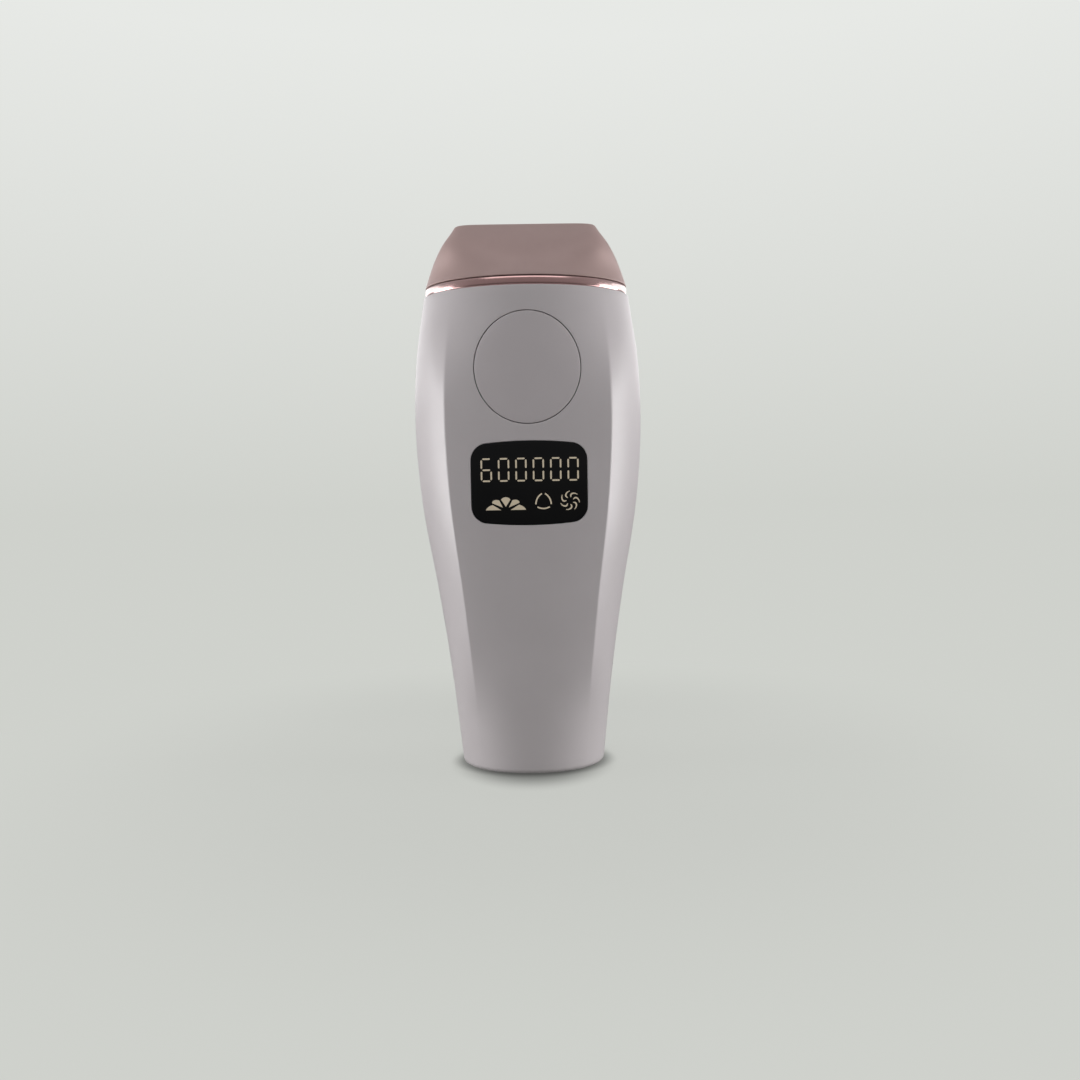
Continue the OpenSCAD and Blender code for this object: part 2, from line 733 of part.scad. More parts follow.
// Small parts of the power board: cans on its back, and blocks and a row of chips on its front
SMALL_CANS = [-13, 13];
chip_row = 4;
chip_side = 3;
chip_pitch = 5;
module board_components() {
    color("#3a4a8c") {
        for (x = SMALL_CANS) translate([x, power_back, 90]) rotate([-90, 0, 0]) cylinder(r = 3, h = 8);
        for (x = SMALL_CANS) block([x - 2.5, power_y - 4, 86], [x + 2.5, power_y, 100]);
        for (i = [0 : chip_row - 1]) let (x = i * chip_pitch - 9)
            block([x, power_y - 2, 108], [x + chip_side, power_y, 108 + chip_side]);
    }
}

// Power socket in the base: a round inlet with a centre pin
jack_bore_r = 2.75;
jack_pin_r = 1;
jack_low = 0.4;
jack_deep = 9.5;
jack_flange_r = 5.2;
jack_half = 4.6;
jack_top = 13.5;
// The pin starts above the mouth, and its thinner tail is held in the socket's floor
jack_pin_rise = 1.4;
jack_tail_r = 0.8;
jack_tail = 2;
module dc_jack() {
    color("#232427") difference() {
        union() {
            translate([0, 0, jack_low]) cylinder(r = jack_flange_r, h = 3);
            block([-jack_half, -jack_half, wall + 0.3], [jack_half, jack_half, jack_top]);
        }
        translate([0, 0, jack_low - 1]) cylinder(r = jack_bore_r, h = jack_deep + 1);
        translate([0, 0, jack_low]) cylinder(r = jack_tail_r, h = jack_deep + jack_tail);
    }
}
module jack_pin() {
    color("#d5d7da") {
        translate([0, 0, jack_low + jack_pin_rise])
            cylinder(r = jack_pin_r, h = jack_deep - jack_pin_rise);
        translate([0, 0, jack_low + jack_deep]) cylinder(r = jack_tail_r, h = jack_tail);
    }
}

// Wires as [radius, points], each a run of round rods with round elbows
wire_start = jack_top + 0.2;
wire_y = power_back + 0.9;
wire_end = socket_low - 0.1;
WIRES = [
    for (s = [-1, 1])
        [0.8, [[3 * s, 2, wire_start], [3 * s, 2, 19.5], [3 * s, wire_y, 23.5], [3 * s, wire_y, 27]]],
    for (s = [-1, 1])
        [0.9, [
            [14.5 * s, wire_y, 112], [14.5 * s, 4, 119], [14.5 * s, 4, 139],
            [8 * s, 0, 142], [8 * s, 0, wire_end]
        ]],
    [0.6, [[0, board_y + board_thick + 0.1, 104], [0, power_y - 0.1, 104]]]
];
module wire(r, points) {
    for (i = [0 : len(points) - 2]) {
        run = points[i + 1] - points[i];
        translate(points[i]) rotate([0, acos(run[2] / norm(run)), atan2(run[1], run[0])])
            cylinder(r = r, h = norm(run));
        if (i > 0) translate(points[i]) sphere(r = r + 0.1);
    }
}
module wire_harness() {
    color("#a02c2c") for (w = WIRES) wire(w[0], w[1]);
}

// Cooling fan behind the rear vents
fan_back = half_deep - 6.6;
fan_front = fan_back - fan_deep;
fan_hole_r = fan_side / 2 - 1.2;
fan_hub_r = 7;
hub_shaft_r = 1;
// The frame's plate, and the tube on it that carries the bearing inside and the stator outside
fan_plate = 1.2;
tube_r = 2.6;
tube_bore_r = 1.8;
tube_top = fan_front + 7;
fan_screw_at = fan_side / 2 - 2.4;
FAN_SCREWS = [for (x = [-1, 1]) for (z = [-1, 1]) [x * fan_screw_at, fan_z + z * fan_screw_at]];
module fan_frame() {
    color("#1d1e20") difference() {
        union() {
            difference() {
                upright(fan_front, fan_back) translate([0, fan_z]) rounded(fan_side, fan_side, 2.4);
                along_y(0, fan_z, fan_hole_r, fan_front - 1, fan_back + 1);
            }
            along_y(0, fan_z, fan_hub_r, fan_front, fan_front + fan_plate);
            along_y(0, fan_z, tube_r, fan_front, tube_top);
            for (a = [0 : 120 : 240]) translate([0, fan_front, fan_z]) rotate([0, a + 30, 0])
                block([0, 0, -1], [fan_hole_r + 0.4, fan_plate, 1]);
        }
        along_y(0, fan_z, tube_bore_r, fan_front + fan_plate, fan_back);
        for (s = FAN_SCREWS) along_y(s[0], s[1], 1.1, fan_front - 1, fan_back + 1);
    }
}
module fan_bearing() {
    color("#c09a4e") difference() {
        along_y(0, fan_z, tube_bore_r, fan_front + fan_plate, tube_top);
        along_y(0, fan_z, hub_shaft_r + 0.05, fan_front + 1, tube_top + 1);
    }
}
module fan_stator() {
    color("#b5652d") difference() {
        union() {
            along_y(0, fan_z, 3.6, fan_front + 1.6, fan_front + 6);
            for (a = [0 : 90 : 270]) translate([0, fan_front + 1.6, fan_z]) rotate([0, a, 0])
                block([2.8, 0, -1.6], [5.2, 4.4, 1.6]);
        }
        along_y(0, fan_z, tube_r, fan_front, tube_top + 1);
    }
}
blade_r = fan_hole_r - 0.6;
blade_pitch = 38;
blade_thick = 0.9;
blade_half = 3.8;
module fan_rotor() {
    color("#3a3b3f") {
        difference() {
            along_y(0, fan_z, fan_hub_r, fan_front + 1.6, fan_back - 0.4);
            along_y(0, fan_z, fan_hub_r - 1, fan_front + 1, fan_back - 1.4);
        }
        along_y(0, fan_z, hub_shaft_r, fan_front + 1.4, fan_back - 1);
        for (i = [0 : fan_blades - 1])
            translate([0, fan_back - 4.6, fan_z]) rotate([0, 360 * i / fan_blades, 0])
                rotate([blade_pitch, 0, 0]) block(
                    [fan_hub_r - 0.5, -blade_thick / 2, -blade_half],
                    [blade_r - 0.6, blade_thick / 2, blade_half]
                );
    }
}
module air_filter() {
    color("#55565a") upright(fan_back + 0.1, fan_back + 0.9) translate([0, fan_z])
        rounded(fan_side - 3, fan_side - 5, 2);
}

// Screws: a pan head with a cross recess over a plain shank
module screw(r, head_r, head_tall, length) {
    difference() {
        union() {
            translate([0, 0, -length]) cylinder(r = r, h = length + 0.1);
            cylinder(r = head_r, h = head_tall);
        }
        for (a = [0, 90]) rotate(a) translate([0, 0, head_tall])
            cube([head_r * 1.2, 0.5, head_tall], center = true);
    }
}
module shell_screws() {
    color("#9a9ca0") for (s = SHELL_SCREWS) translate([s[0], screw_seat_y, s[1]]) rotate([-90, 0, 0])
        screw(screw_shank_r, screw_head_r, 1.8, screw_length);
}
module board_screws() {
    color("#9a9ca0") for (s = BOARD_SCREWS) translate([s[0], board_y + board_thick, s[1]]) rotate([-90, 0, 0])
        screw(small_screw_r, small_head_r, 1.2, 5);
}
module fan_screws() {
    color("#9a9ca0") for (s = FAN_SCREWS) translate([s[0], fan_front, s[1]]) rotate([90, 0, 0])
        screw(0.9, 1.7, 1, 9);
}

// Head: a shell round the window, lamp and reflector, on a base that plugs into the body
frame_x = 41;
frame_y = 20;
glass_x = 37;
glass_y = 16;
opening_x = 33;
opening_y = 12;
frame_top = top_z - 0.3;
frame_tall = 4;
base_low = head_z + 0.3;
base_thick = 2;
head_wall = 2;
HEAD_SCREWS = [-24.2, 24.2];
head_boss_r = 2.3;
head_boss_tall = 10.5;
module head_shell() {
    color("#c79c96") difference() {
        union() {
            sheet(head_rows(0), head_rows(head_wall), true);
            for (x = HEAD_SCREWS) translate([x, 0, base_low + base_thick])
                cylinder(r = head_boss_r, h = head_boss_tall);
        }
        translate([0, 0, top_z - 5]) linear_extrude(10) rounded(frame_x + 0.3, frame_y + 0.3, 3);
        for (x = HEAD_SCREWS) translate([x, 0, base_low]) cylinder(r = small_screw_r, h = 7);
    }
}
SENSOR_X = [-18.6, 18.6];
SENSOR_Y = [-5, 5];
sensor_r = 1.1;
sensor_deep = 1;
module window_frame() {
    color("#2a2627") difference() {
        translate([0, 0, frame_top - frame_tall]) linear_extrude(frame_tall) rounded(frame_x, frame_y, 2.9);
        translate([0, 0, frame_top - frame_tall - 1]) linear_extrude(frame_tall + 2)
            rounded(opening_x, opening_y, 1.6);
        translate([0, 0, frame_top - frame_tall - 1]) linear_extrude(frame_tall - 0.2)
            rounded(glass_x + 0.4, glass_y + 0.4, 1.8);
        for (x = SENSOR_X) for (y = SENSOR_Y) translate([x, y, frame_top - sensor_deep])
            cylinder(r = sensor_r + 0.05, h = 3);
    }
}
module skin_sensors() {
    color("#d9c9a8") for (x = SENSOR_X) for (y = SENSOR_Y)
        translate([x, y, frame_top - sensor_deep]) cylinder(r = sensor_r, h = sensor_deep + 0.25);
}
glass_z = frame_top - 1.3;
module window_gasket() {
    color("#8d8d90") translate([0, 0, glass_z - 2.7]) linear_extrude(0.7) difference() {
        rounded(glass_x, glass_y, 1.6);
        rounded(glass_x - 3, glass_y - 3, 1);
    }
}
module window_glass() {
    color("#f3d9b8", 0.6) translate([0, 0, glass_z - 1.95]) linear_extrude(1.9)
        rounded(glass_x, glass_y, 1.6);
}
lamp_z = ring_z + 7.6;
lamp_r = 2.4;
lamp_length = 36;
electrode_r = 1.2;
electrode_length = 42.8;
holder_inner = 17.3;
holder_outer = 21.3;
reflector_top = glass_z - 2.8;
module reflector() {
    // Polished trough under the window: straight flaring sides over a half round that holds the lamp
    lamp_gap = 4.2;
    flare = 6.6;
    thick = 0.6;
    function trough(grow) = [
        [flare + grow, reflector_top], [lamp_gap + grow, lamp_z],
        for (i = [1 : 7]) let (a = 180 * i / 8)
            [(lamp_gap + grow) * cos(a), lamp_z - (lamp_gap + grow) * sin(a)],
        [-lamp_gap - grow, lamp_z], [-flare - grow, reflector_top]
    ];
    inner = trough(0);
    outer = trough(thick);
    color("#e4e6e8") rotate([90, 0, 90]) translate([0, 0, -16.5]) linear_extrude(33)
        polygon(concat(outer, [for (i = [len(inner) - 1 : -1 : 0]) inner[i]]));
}
module flash_lamp() {
    color("#eef2f5", 0.7) {
        along_x(0, lamp_z, lamp_r, lamp_length);
        along_x(0, lamp_z, electrode_r, electrode_length);
    }
}
module lamp_holders() {
    color("#efeee8") for (s = [-1, 1]) difference() {
        block(
            [s > 0 ? holder_inner : -holder_outer, -4.5, head_z + 2.5],
            [s > 0 ? holder_outer : -holder_inner, 4.5, lamp_z + 3.4]
        );
        along_x(0, lamp_z, lamp_r + 0.05, lamp_length + 0.2);
        along_x(0, lamp_z, electrode_r + 0.1, electrode_length + 7.2);
    }
}
plug_low = body_height - 5.3;
pin_low = body_height - 9.6;
module cartridge_base() {
    color("#4a4a4e") difference() {
        union() {
            translate([0, 0, base_low]) linear_extrude(base_thick) difference() {
                oval(head_rim_x - 2.9, head_rim_y - 2.9);
                for (y = DECK_VENTS) translate([0, y])
                    rounded(vent_slot_width - 2, vent_slot_tall, vent_slot_r);
            }
            translate([0, 0, plug_low]) linear_extrude(base_low - plug_low + 0.1)
                rounded(plug_x, plug_y, 1.8);
        }
        for (x = PIN_PLACES) translate([x, 0, plug_low - 0.7]) cylinder(r = pin_r, h = 6);
        for (x = HEAD_SCREWS) translate([x, 0, base_low - 1]) cylinder(r = 1, h = base_thick + 2);
    }
}
module contact_pins() {
    color("#d8b25c") for (x = PIN_PLACES) translate([x, 0, pin_low]) cylinder(r = pin_r, h = 9.5);
}
module head_screws() {
    color("#9a9ca0") for (x = HEAD_SCREWS) translate([x, 0, base_low]) rotate([180, 0, 0])
        screw(small_screw_r, small_head_r, 1, 6);
}

front_shell();
rear_shell();
trim_ring();
socket_deck();
head_socket();
socket_contacts();
display_window();
display_segments();
display_module();
control_board();
control_chips();
front_button();
front_switch();
front_switch_plunger();
rear_trigger();
rear_switch();
rear_switch_plunger();
rear_switch_board();
power_board();
storage_capacitor();
flyback_transformer();
trigger_coil();
power_transistor();
heat_sink();
board_components();
dc_jack();
jack_pin();
wire_harness();
fan_frame();
fan_bearing();
fan_stator();
fan_rotor();
air_filter();
shell_screws();
board_screws();
fan_screws();
head_shell();
window_frame();
window_gasket();
window_glass();
reflector();
flash_lamp();
lamp_holders();
cartridge_base();
contact_pins();
skin_sensors();
head_screws();
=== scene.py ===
"""Looks of the upright IPL hair remover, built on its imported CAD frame.

The shells, ring, head, buttons and display are modelled here as smooth surfaces over the CAD sections;
everything inside keeps its CAD mesh and gets a finish. The smooth shells leave out the CAD's bosses and
posts, which are inside and out of sight. All lengths are in metres.
"""

import json
import math

import bmesh
import bpy
from mathutils import Matrix, Vector


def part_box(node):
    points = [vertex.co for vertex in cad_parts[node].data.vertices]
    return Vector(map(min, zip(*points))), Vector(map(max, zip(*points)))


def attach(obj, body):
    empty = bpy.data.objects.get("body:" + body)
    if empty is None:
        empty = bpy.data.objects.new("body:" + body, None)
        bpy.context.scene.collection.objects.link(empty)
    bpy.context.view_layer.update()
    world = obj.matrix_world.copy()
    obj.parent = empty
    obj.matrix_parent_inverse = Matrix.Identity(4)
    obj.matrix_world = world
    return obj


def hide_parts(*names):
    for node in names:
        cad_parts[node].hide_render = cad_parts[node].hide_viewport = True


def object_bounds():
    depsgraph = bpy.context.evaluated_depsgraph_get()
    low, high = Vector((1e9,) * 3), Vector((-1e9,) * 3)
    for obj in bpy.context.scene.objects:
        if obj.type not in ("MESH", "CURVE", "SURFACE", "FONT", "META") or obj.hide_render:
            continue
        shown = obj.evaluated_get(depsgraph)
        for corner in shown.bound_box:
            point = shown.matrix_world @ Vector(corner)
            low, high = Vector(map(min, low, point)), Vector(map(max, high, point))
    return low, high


MM = 0.001

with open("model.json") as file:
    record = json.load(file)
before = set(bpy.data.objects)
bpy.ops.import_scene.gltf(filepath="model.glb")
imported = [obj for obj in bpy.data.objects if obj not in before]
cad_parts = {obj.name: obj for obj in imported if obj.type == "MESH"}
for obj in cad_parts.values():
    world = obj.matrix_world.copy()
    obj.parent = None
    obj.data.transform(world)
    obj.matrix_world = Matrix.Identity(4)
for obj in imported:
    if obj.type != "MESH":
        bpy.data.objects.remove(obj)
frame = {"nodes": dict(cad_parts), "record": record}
cad_low, cad_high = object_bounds()
record = frame["record"]


# ---------------------------------------------------------------- sizes read from the frame
shell_low, shell_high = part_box("front_shell")
ring_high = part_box("trim_ring")[1]
head_low, head_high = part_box("head_shell")
button_low, button_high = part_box("front_button")
window_low, window_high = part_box("display_window")
marks_low, marks_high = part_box("display_segments")
trigger_low, trigger_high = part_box("rear_trigger")
glass_frame_low, glass_frame_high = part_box("window_frame")

# The outlines below repeat the CAD's tables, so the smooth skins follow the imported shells
HALF_BODY = shell_high.x
HALF_DEEP = -shell_low.y
BODY_TOP = shell_high.z
WALL = 2.2 * MM
RING_INSET = 0.6 * MM
HALF_RIM = ring_high.x + RING_INSET
BASE_SHARE = 0.6258
HALF_BASE = BASE_SHARE * HALF_BODY
BASE_FILLET = 1.6 * MM
CREASE_SHARE = 0.7
CREASE_AT = math.asin(CREASE_SHARE)
PANEL_CROWN = 2.6 * MM
BEVEL_ANGLE = math.radians(48)
CREASE_SOFT = math.radians(1.0)
HEAD_WALL = 2.0 * MM


def between(share):
    """Half width a share of the way from the base to the widest place."""
    return HALF_BASE + (HALF_BODY - HALF_BASE) * share


# Outlines as (share of the height, half width or half depth)
BODY_WIDTHS = [
    (0, HALF_BASE),
    (0.19, between(0.225)),
    (0.365, between(0.505)),
    (0.555, between(0.86)),
    (0.715, HALF_BODY),
    (0.86, 0.982 * HALF_BODY),
    (1, HALF_RIM),
]
BODY_DEPTHS = [
    (0, HALF_DEEP - 3.9 * MM),
    (0.25, HALF_DEEP - 1.8 * MM),
    (0.7, HALF_DEEP),
    (1, HALF_DEEP - 0.9 * MM),
]
HEAD_RIM_X = HALF_RIM - 0.6 * MM
HEAD_RIM_Y = HALF_DEEP - 1.55 * MM
HALF_TOP = 23.2 * MM
HALF_TOP_DEEP = 13.5 * MM
HEAD_WIDTHS = [
    (0, HEAD_RIM_X),
    (0.24, HEAD_RIM_X - 1.5 * MM),
    (0.45, HEAD_RIM_X - 3.2 * MM),
    (0.68, HEAD_RIM_X - 5.95 * MM),
    (0.88, HALF_TOP + 1.55 * MM),
    (1, HALF_TOP),
]
HEAD_DEPTHS = [
    (0, HEAD_RIM_Y),
    (0.3, HEAD_RIM_Y - 1.4 * MM),
    (0.6, HEAD_RIM_Y - 4.4 * MM),
    (1, HALF_TOP_DEEP),
]
# Exponents of the sections, from an oval to a squarer one: near the body's ends and midway, and up the head
BODY_ROUND = (2.0, 2.5)
HEAD_ROUND = (2.0, 8.0)
# Shares of the body's height over which the creases and the squarer back fade in and out
CREASE_IN = (0.1, 0.3)
CREASE_OUT = (0.74, 0.96)
SQUARE_IN = (0.0, 0.3)
SQUARE_OUT = (0.72, 1.0)


# ---------------------------------------------------------------- curves and sections
def mix(a, b, s):
    return a * (1 - s) + b * s


def curve(table, u):
    """Smooth curve through a table's points, with each slope taken from the neighbours."""

    def slope(i):
        a, b = max(i - 1, 0), min(i + 1, len(table) - 1)
        return (table[b][1] - table[a][1]) / (table[b][0] - table[a][0])

    i = max([k for k in range(len(table) - 1) if u >= table[k][0] or k == 0])
    span = table[i + 1][0] - table[i][0]
    s = (u - table[i][0]) / span
    h = s * s * (3 - 2 * s)
    bend = slope(i) * s * (1 - s) ** 2 - slope(i + 1) * s * s * (1 - s)
    return table[i][1] * (1 - h) + table[i + 1][1] * h + span * bend


def fade(ends, u):
    """Smooth rise from 0 to 1 between two ends."""
    s = min(1.0, max(0.0, (u - ends[0]) / (ends[1] - ends[0])))
    return s * s * (3 - 2 * s)


def midway(ends_in, ends_out, z):
    """1 over the middle of the body's height, fading to 0 toward its foot and its rim."""
    u = z / BODY_TOP
    return fade(ends_in, u) * (1 - fade(ends_out, u))


def body_half(z):
    return curve(BODY_WIDTHS, z / BODY_TOP)


def body_deep(z):
    return curve(BODY_DEPTHS, z / BODY_TOP)


def rounded_share(sine, z):
    """Share of the depth that a section without creases keeps at the sine of an angle."""
    n = mix(*BODY_ROUND, midway(SQUARE_IN, SQUARE_OUT, z))
    return max(0.0, 1 - abs(sine) ** n) ** (1 / n)


def creased(half, deep, angle):
    """Crowned panel between the creases, and outside them a bevel that ends square to the side."""
    if abs(angle) <= CREASE_AT:
        across = math.sin(abs(angle)) / CREASE_SHARE
        return half * math.sin(angle), PANEL_CROWN * across * across - deep
    s = (abs(angle) - CREASE_AT) / (math.pi / 2 - CREASE_AT)
    x0, y0 = half * CREASE_SHARE, PANEL_CROWN - deep
    turn = y0 + (half - x0) * math.tan(BEVEL_ANGLE)
    x = (1 - s) ** 2 * x0 + (2 * s * (1 - s) + s * s) * half
    y = (1 - s) ** 2 * y0 + 2 * s * (1 - s) * turn
    return math.copysign(x, angle), y


def front_sharp(angle, z, inset):
    """Point on the front skin before its creases are rounded."""
    half, deep = body_half(z) - inset, body_deep(z) - inset
    x, y = creased(half, deep, angle)
    k = midway(CREASE_IN, CREASE_OUT, z)
    plain_y = -deep * rounded_share(math.sin(angle), z)
    return Vector((mix(half * math.sin(angle), x, k), mix(plain_y, y, k), z))


def front_point(angle, z, inset=0.0):
    """Point on the front skin; the crease is rounded by averaging across it."""
    near = CREASE_SOFT - abs(abs(angle) - CREASE_AT)
    p = front_sharp(angle, z, inset)
    if near <= 0:
        return p
    return (front_sharp(angle - near, z, inset) + 2 * p + front_sharp(angle + near, z, inset)) / 4


def back_point(angle, z, inset=0.0):
    """Point on the back skin; the angle is measured from the back, so +X is at +90 degrees."""
    half, deep = body_half(z) - inset, body_deep(z) - inset
    return Vector((half * math.sin(angle), deep * rounded_share(math.sin(angle), z), z))


def head_point(angle, z, inset=0.0):
    """Point on the head's skin at a direction seen from above, with 0 at the front."""
    u = (z - head_low.z) / (head_high.z - head_low.z)
    half, deep = curve(HEAD_WIDTHS, u) - inset, curve(HEAD_DEPTHS, u) - inset
    n = mix(*HEAD_ROUND, u**3)
    sine, cosine = math.sin(angle), math.cos(angle)
    reach = (abs(sine / half) ** n + abs(cosine / deep) ** n) ** (-1 / n)
    return Vector((reach * sine, -reach * cosine, z))


# ---------------------------------------------------------------- outlines of openings
def rounded_outline(half_x, half_z, radius, bulge=0.0):
    """Maps the edge of the unit square to a rounded rectangle whose top and bottom may bulge."""

    def place(u, v, grow):
        a, b, r = half_x + grow, half_z + grow - bulge, radius + grow
        x = math.sin(u * math.pi / 2) * a
        z = math.sin(v * math.pi / 2) * b
        core_x = min(max(x, r - a), a - r)
        core_z = min(max(z, r - b), b - r)
        length = math.hypot(x - core_x, z - core_z)
        if length > 0:
            x, z = core_x + (x - core_x) / length * r, core_z + (z - core_z) / length * r
        return x, z + math.copysign(bulge * (1 - (x / a) ** 2) * abs(z / b) ** 3, z)

    return place


def oval_outline(half_x, half_z):
    """Maps the edge of the unit square to an oval."""

    def place(u, v, grow):
        length = math.hypot(u, v)
        return u / length * (half_x + grow), v / length * (half_z + grow)

    return place


def square_point(share):
    """Point on the edge of the unit square, a share of the way round."""
    side, s = divmod(4 * share, 1)
    s = 2 * s - 1
    return [(s, -1), (1, s), (-s, 1), (-1, -s)][int(side) % 4]


# ---------------------------------------------------------------- mesh helpers
def new_mesh(name, points, faces, sharp_angle=35):
    """Closed mesh with its faces turned outward and smooth shading up to an angle."""
    mesh = bpy.data.meshes.new(name)
    mesh.from_pydata([tuple(p) for p in points], [], faces)
    shape = bmesh.new()
    shape.from_mesh(mesh)
    bmesh.ops.recalc_face_normals(shape, faces=shape.faces)
    shape.to_mesh(mesh)
    shape.free()
    for polygon in mesh.polygons:
        polygon.use_smooth = True
    mesh.set_sharp_from_angle(angle=math.radians(sharp_angle))
    piece = bpy.data.objects.new(name, mesh)
    bpy.context.scene.collection.objects.link(piece)
    return piece


def loops_mesh(name, loops, capped=True, sharp_angle=35):
    """Mesh through closed loops of the same length, capped at both ends or joined end to end."""
    count = len(loops[0])
    points = [p for loop in loops for p in loop]
    faces = []
    for k in range(len(loops) - 1 if capped else len(loops)):
        low, high = k * count, (k + 1) % len(loops) * count
        for i in range(count):
            j = (i + 1) % count
            faces.append((low + i, low + j, high + j, high + i))
    if capped:
        for start in (0, (len(loops) - 1) * count):
            points.append(sum(points[start : start + count], Vector()) / count)
            faces += [(start + i, start + (i + 1) % count, len(points) - 1) for i in range(count)]
    return new_mesh(name, points, faces, sharp_angle)


def fillet(radius, steps=4):
    """Rounded edge as (distance from the wall, depth under the skin), from the skin to the wall."""
    turns = [math.pi / 2 * k / steps for k in range(steps + 1)]
    return [(radius * (1 - math.sin(t)), radius * (1 - math.cos(t))) for t in turns]


def skin_depth(skin, x, z):
    """Y of the front or back skin at a place seen square on."""
    return skin(math.asin(min(1.0, max(-1.0, x / body_half(z)))), z).y


# ---------------------------------------------------------------- shells
# The seam between the half shells: half its width, and how far the skin turns in over its last columns
SEAM_GAP = 0.05 * MM
SEAM_INSETS = {0: 0.2 * MM, 1: 0.06 * MM}
SEAM_STEP = math.radians(0.4)
JACK_HOLE = 5.5 * MM
PATCH_RINGS = 6
RIM_RADIUS = 0.25 * MM
FOOT_STEPS = 7
FOOT_TURNS = [math.pi / 2 * k / FOOT_STEPS for k in range(FOOT_STEPS + 1)]
SIDE_END = math.pi / 2 - 3 * SEAM_STEP
PANEL_COLUMNS = 22
BEVEL_COLUMNS = 12
BACK_COLUMNS = 42
SEAM_COLUMNS = [math.pi / 2 - SEAM_STEP, math.pi / 2]
LEVEL_STEP = 1.9 * MM


class Hole:
    """Opening in a half shell: its middle, its outline and the reach of the patch around it."""

    def __init__(self, x, z, outline, reach_x, reach_z, radius):
        self.x, self.z = x, z
        self.outline = outline
        self.reach_x, self.reach_z = reach_x, reach_z
        self.radius = radius

    def patch(self, angles, levels):
        """Columns and rows of the grid that close round the opening."""
        low, high = self.z - self.reach_z, self.z + self.reach_z
        narrow, wide = sorted((body_half(low), body_half(high)))
        left_half = wide if self.x < 0 else narrow
        left = [c for c, a in enumerate(angles) if math.sin(a) * left_half <= self.x - self.reach_x]
        right = [c for c, a in enumerate(angles) if math.sin(a) * narrow >= self.x + self.reach_x]
        below = [r for r, z in enumerate(levels) if z <= low]
        above = [r for r, z in enumerate(levels) if z >= high]
        return max(left), min(right), max(below), min(above)


def half_shell(name, skin, facing, angles, rows, holes):
    """Closed half shell with openings; facing is -1 for the front and 1 for the back."""
    outer, inner, faces = [], [], []

    def add(p, q):
        outer.append(p)
        inner.append(q)
        return len(outer) - 1

    last = len(angles) - 1
    index = {}
    for r, (z, inset) in enumerate(rows):
        lining_z = WALL + z * (BODY_TOP - WALL) / BODY_TOP
        for c, angle in enumerate(angles):
            seam = SEAM_INSETS.get(min(c, last - c), 0.0)
            p = skin(angle, z, inset + seam)
            q = skin(angle, lining_z, WALL + inset)
            if c in (0, last):
                p.y = q.y = facing * SEAM_GAP
            index[r, c] = add(p, q)
    mouth = []
    for angle in angles:
        p = Vector((math.sin(angle), facing * math.cos(angle), 0)) * JACK_HOLE
        mouth.append(add(p, p + Vector((0, 0, WALL))))
    for c in range(last):
        faces.append((mouth[c], mouth[c + 1], index[0, c + 1], index[0, c]))

    taken = set()
    levels = [z for z, _ in rows]
    for hole in holes:
        c0, c1, r0, r1 = hole.patch(angles, levels)
        taken |= {(r, c) for r in range(r0, r1) for c in range(c0, c1)}
        edge = [(r0, c) for c in range(c0, c1)] + [(r, c1) for r in range(r0, r1)]
        edge += [(r1, c) for c in range(c1, c0, -1)] + [(r, c0) for r in range(r1, r0, -1)]
        unit = [(2 * (c - c0) / (c1 - c0) - 1, 2 * (r - r0) / (r1 - r0) - 1) for r, c in edge]
        loop = [index[e] for e in edge]
        starts = [(outer[i], inner[i]) for i in loop]
        steps = [(k / PATCH_RINGS, hole.radius, 0.0) for k in range(1, PATCH_RINGS)]
        steps += [(1.0, grow, depth) for grow, depth in fillet(hole.radius)]
        for share, grow, depth in steps:
            ring = []
            for (u, v), (start, lined) in zip(unit, starts):
                x, z = hole.outline(u, v, grow)
                goal = (hole.x + x, hole.z + z)
                px, pz = mix(start.x, goal[0], share), mix(start.z, goal[1], share)
                p = Vector((px, skin_depth(skin, px, pz) - facing * depth, pz))
                q = Vector((goal[0], skin_depth(skin, *goal) - facing * WALL, goal[1]))
                ring.append(add(p, lined.lerp(q, share)))
            for i in range(len(loop)):
                j = (i + 1) % len(loop)
                faces.append((loop[i], loop[j], ring[j], ring[i]))
            loop = ring
    for r in range(len(rows) - 1):
        for c in range(last):
            if (r, c) not in taken:
                faces.append((index[r, c], index[r, c + 1], index[r + 1, c + 1], index[r + 1, c]))

    n = len(outer)
    edges = {(f[i], f[(i + 1) % 4]) for f in faces for i in range(4)}
    rims = [(a, b) for a, b in sorted(edges) if (b, a) not in edges]
    closed = faces + [tuple(n + i for i in reversed(f)) for f in faces]
    closed += [(b, a, n + a, n + b) for a, b in rims]
    used = sorted({i for f in closed for i in f})
    place = {old: new for new, old in enumerate(used)}
    points = outer + inner
    return new_mesh(name, [points[i] for i in used], [tuple(place[i] for i in f) for f in closed])


def spread(a, b, count):
    """Evenly spaced values after a, up to and with b."""
    return [mix(a, b, i / count) for i in range(1, count + 1)]


def mirrored(positive):
    return [-a for a in reversed(positive)] + [0.0] + positive


def shell_rows(levels):
    """(height, inset) from the base's flat through its fillet and the levels to the rounded rim."""
    foot = [(BASE_FILLET * (1 - math.cos(t)), BASE_FILLET * (1 - math.sin(t))) for t in FOOT_TURNS]
    rim = [(BODY_TOP - grow, depth) for grow, depth in fillet(RIM_RADIUS)]
    return foot + [(z, 0.0) for z in levels] + rim


def middle_of(low, high):
    return (low + high) / 2


def quadrants(node):
    """Lowest and highest corners of a node's part in each of its quadrants, seen from the front."""
    points = [v.co for v in frame["nodes"][node].data.vertices]
    mid_z = middle_of(min(p.z for p in points), max(p.z for p in points))
    found = []
    for right in (False, True):
        for upper in (False, True):
            part = [p for p in points if (p.x > 0) == right and (p.z > mid_z) == upper]
            low = Vector(map(min, zip(*part)))
            high = Vector(map(max, zip(*part)))
            found.append((low, high))
    return found


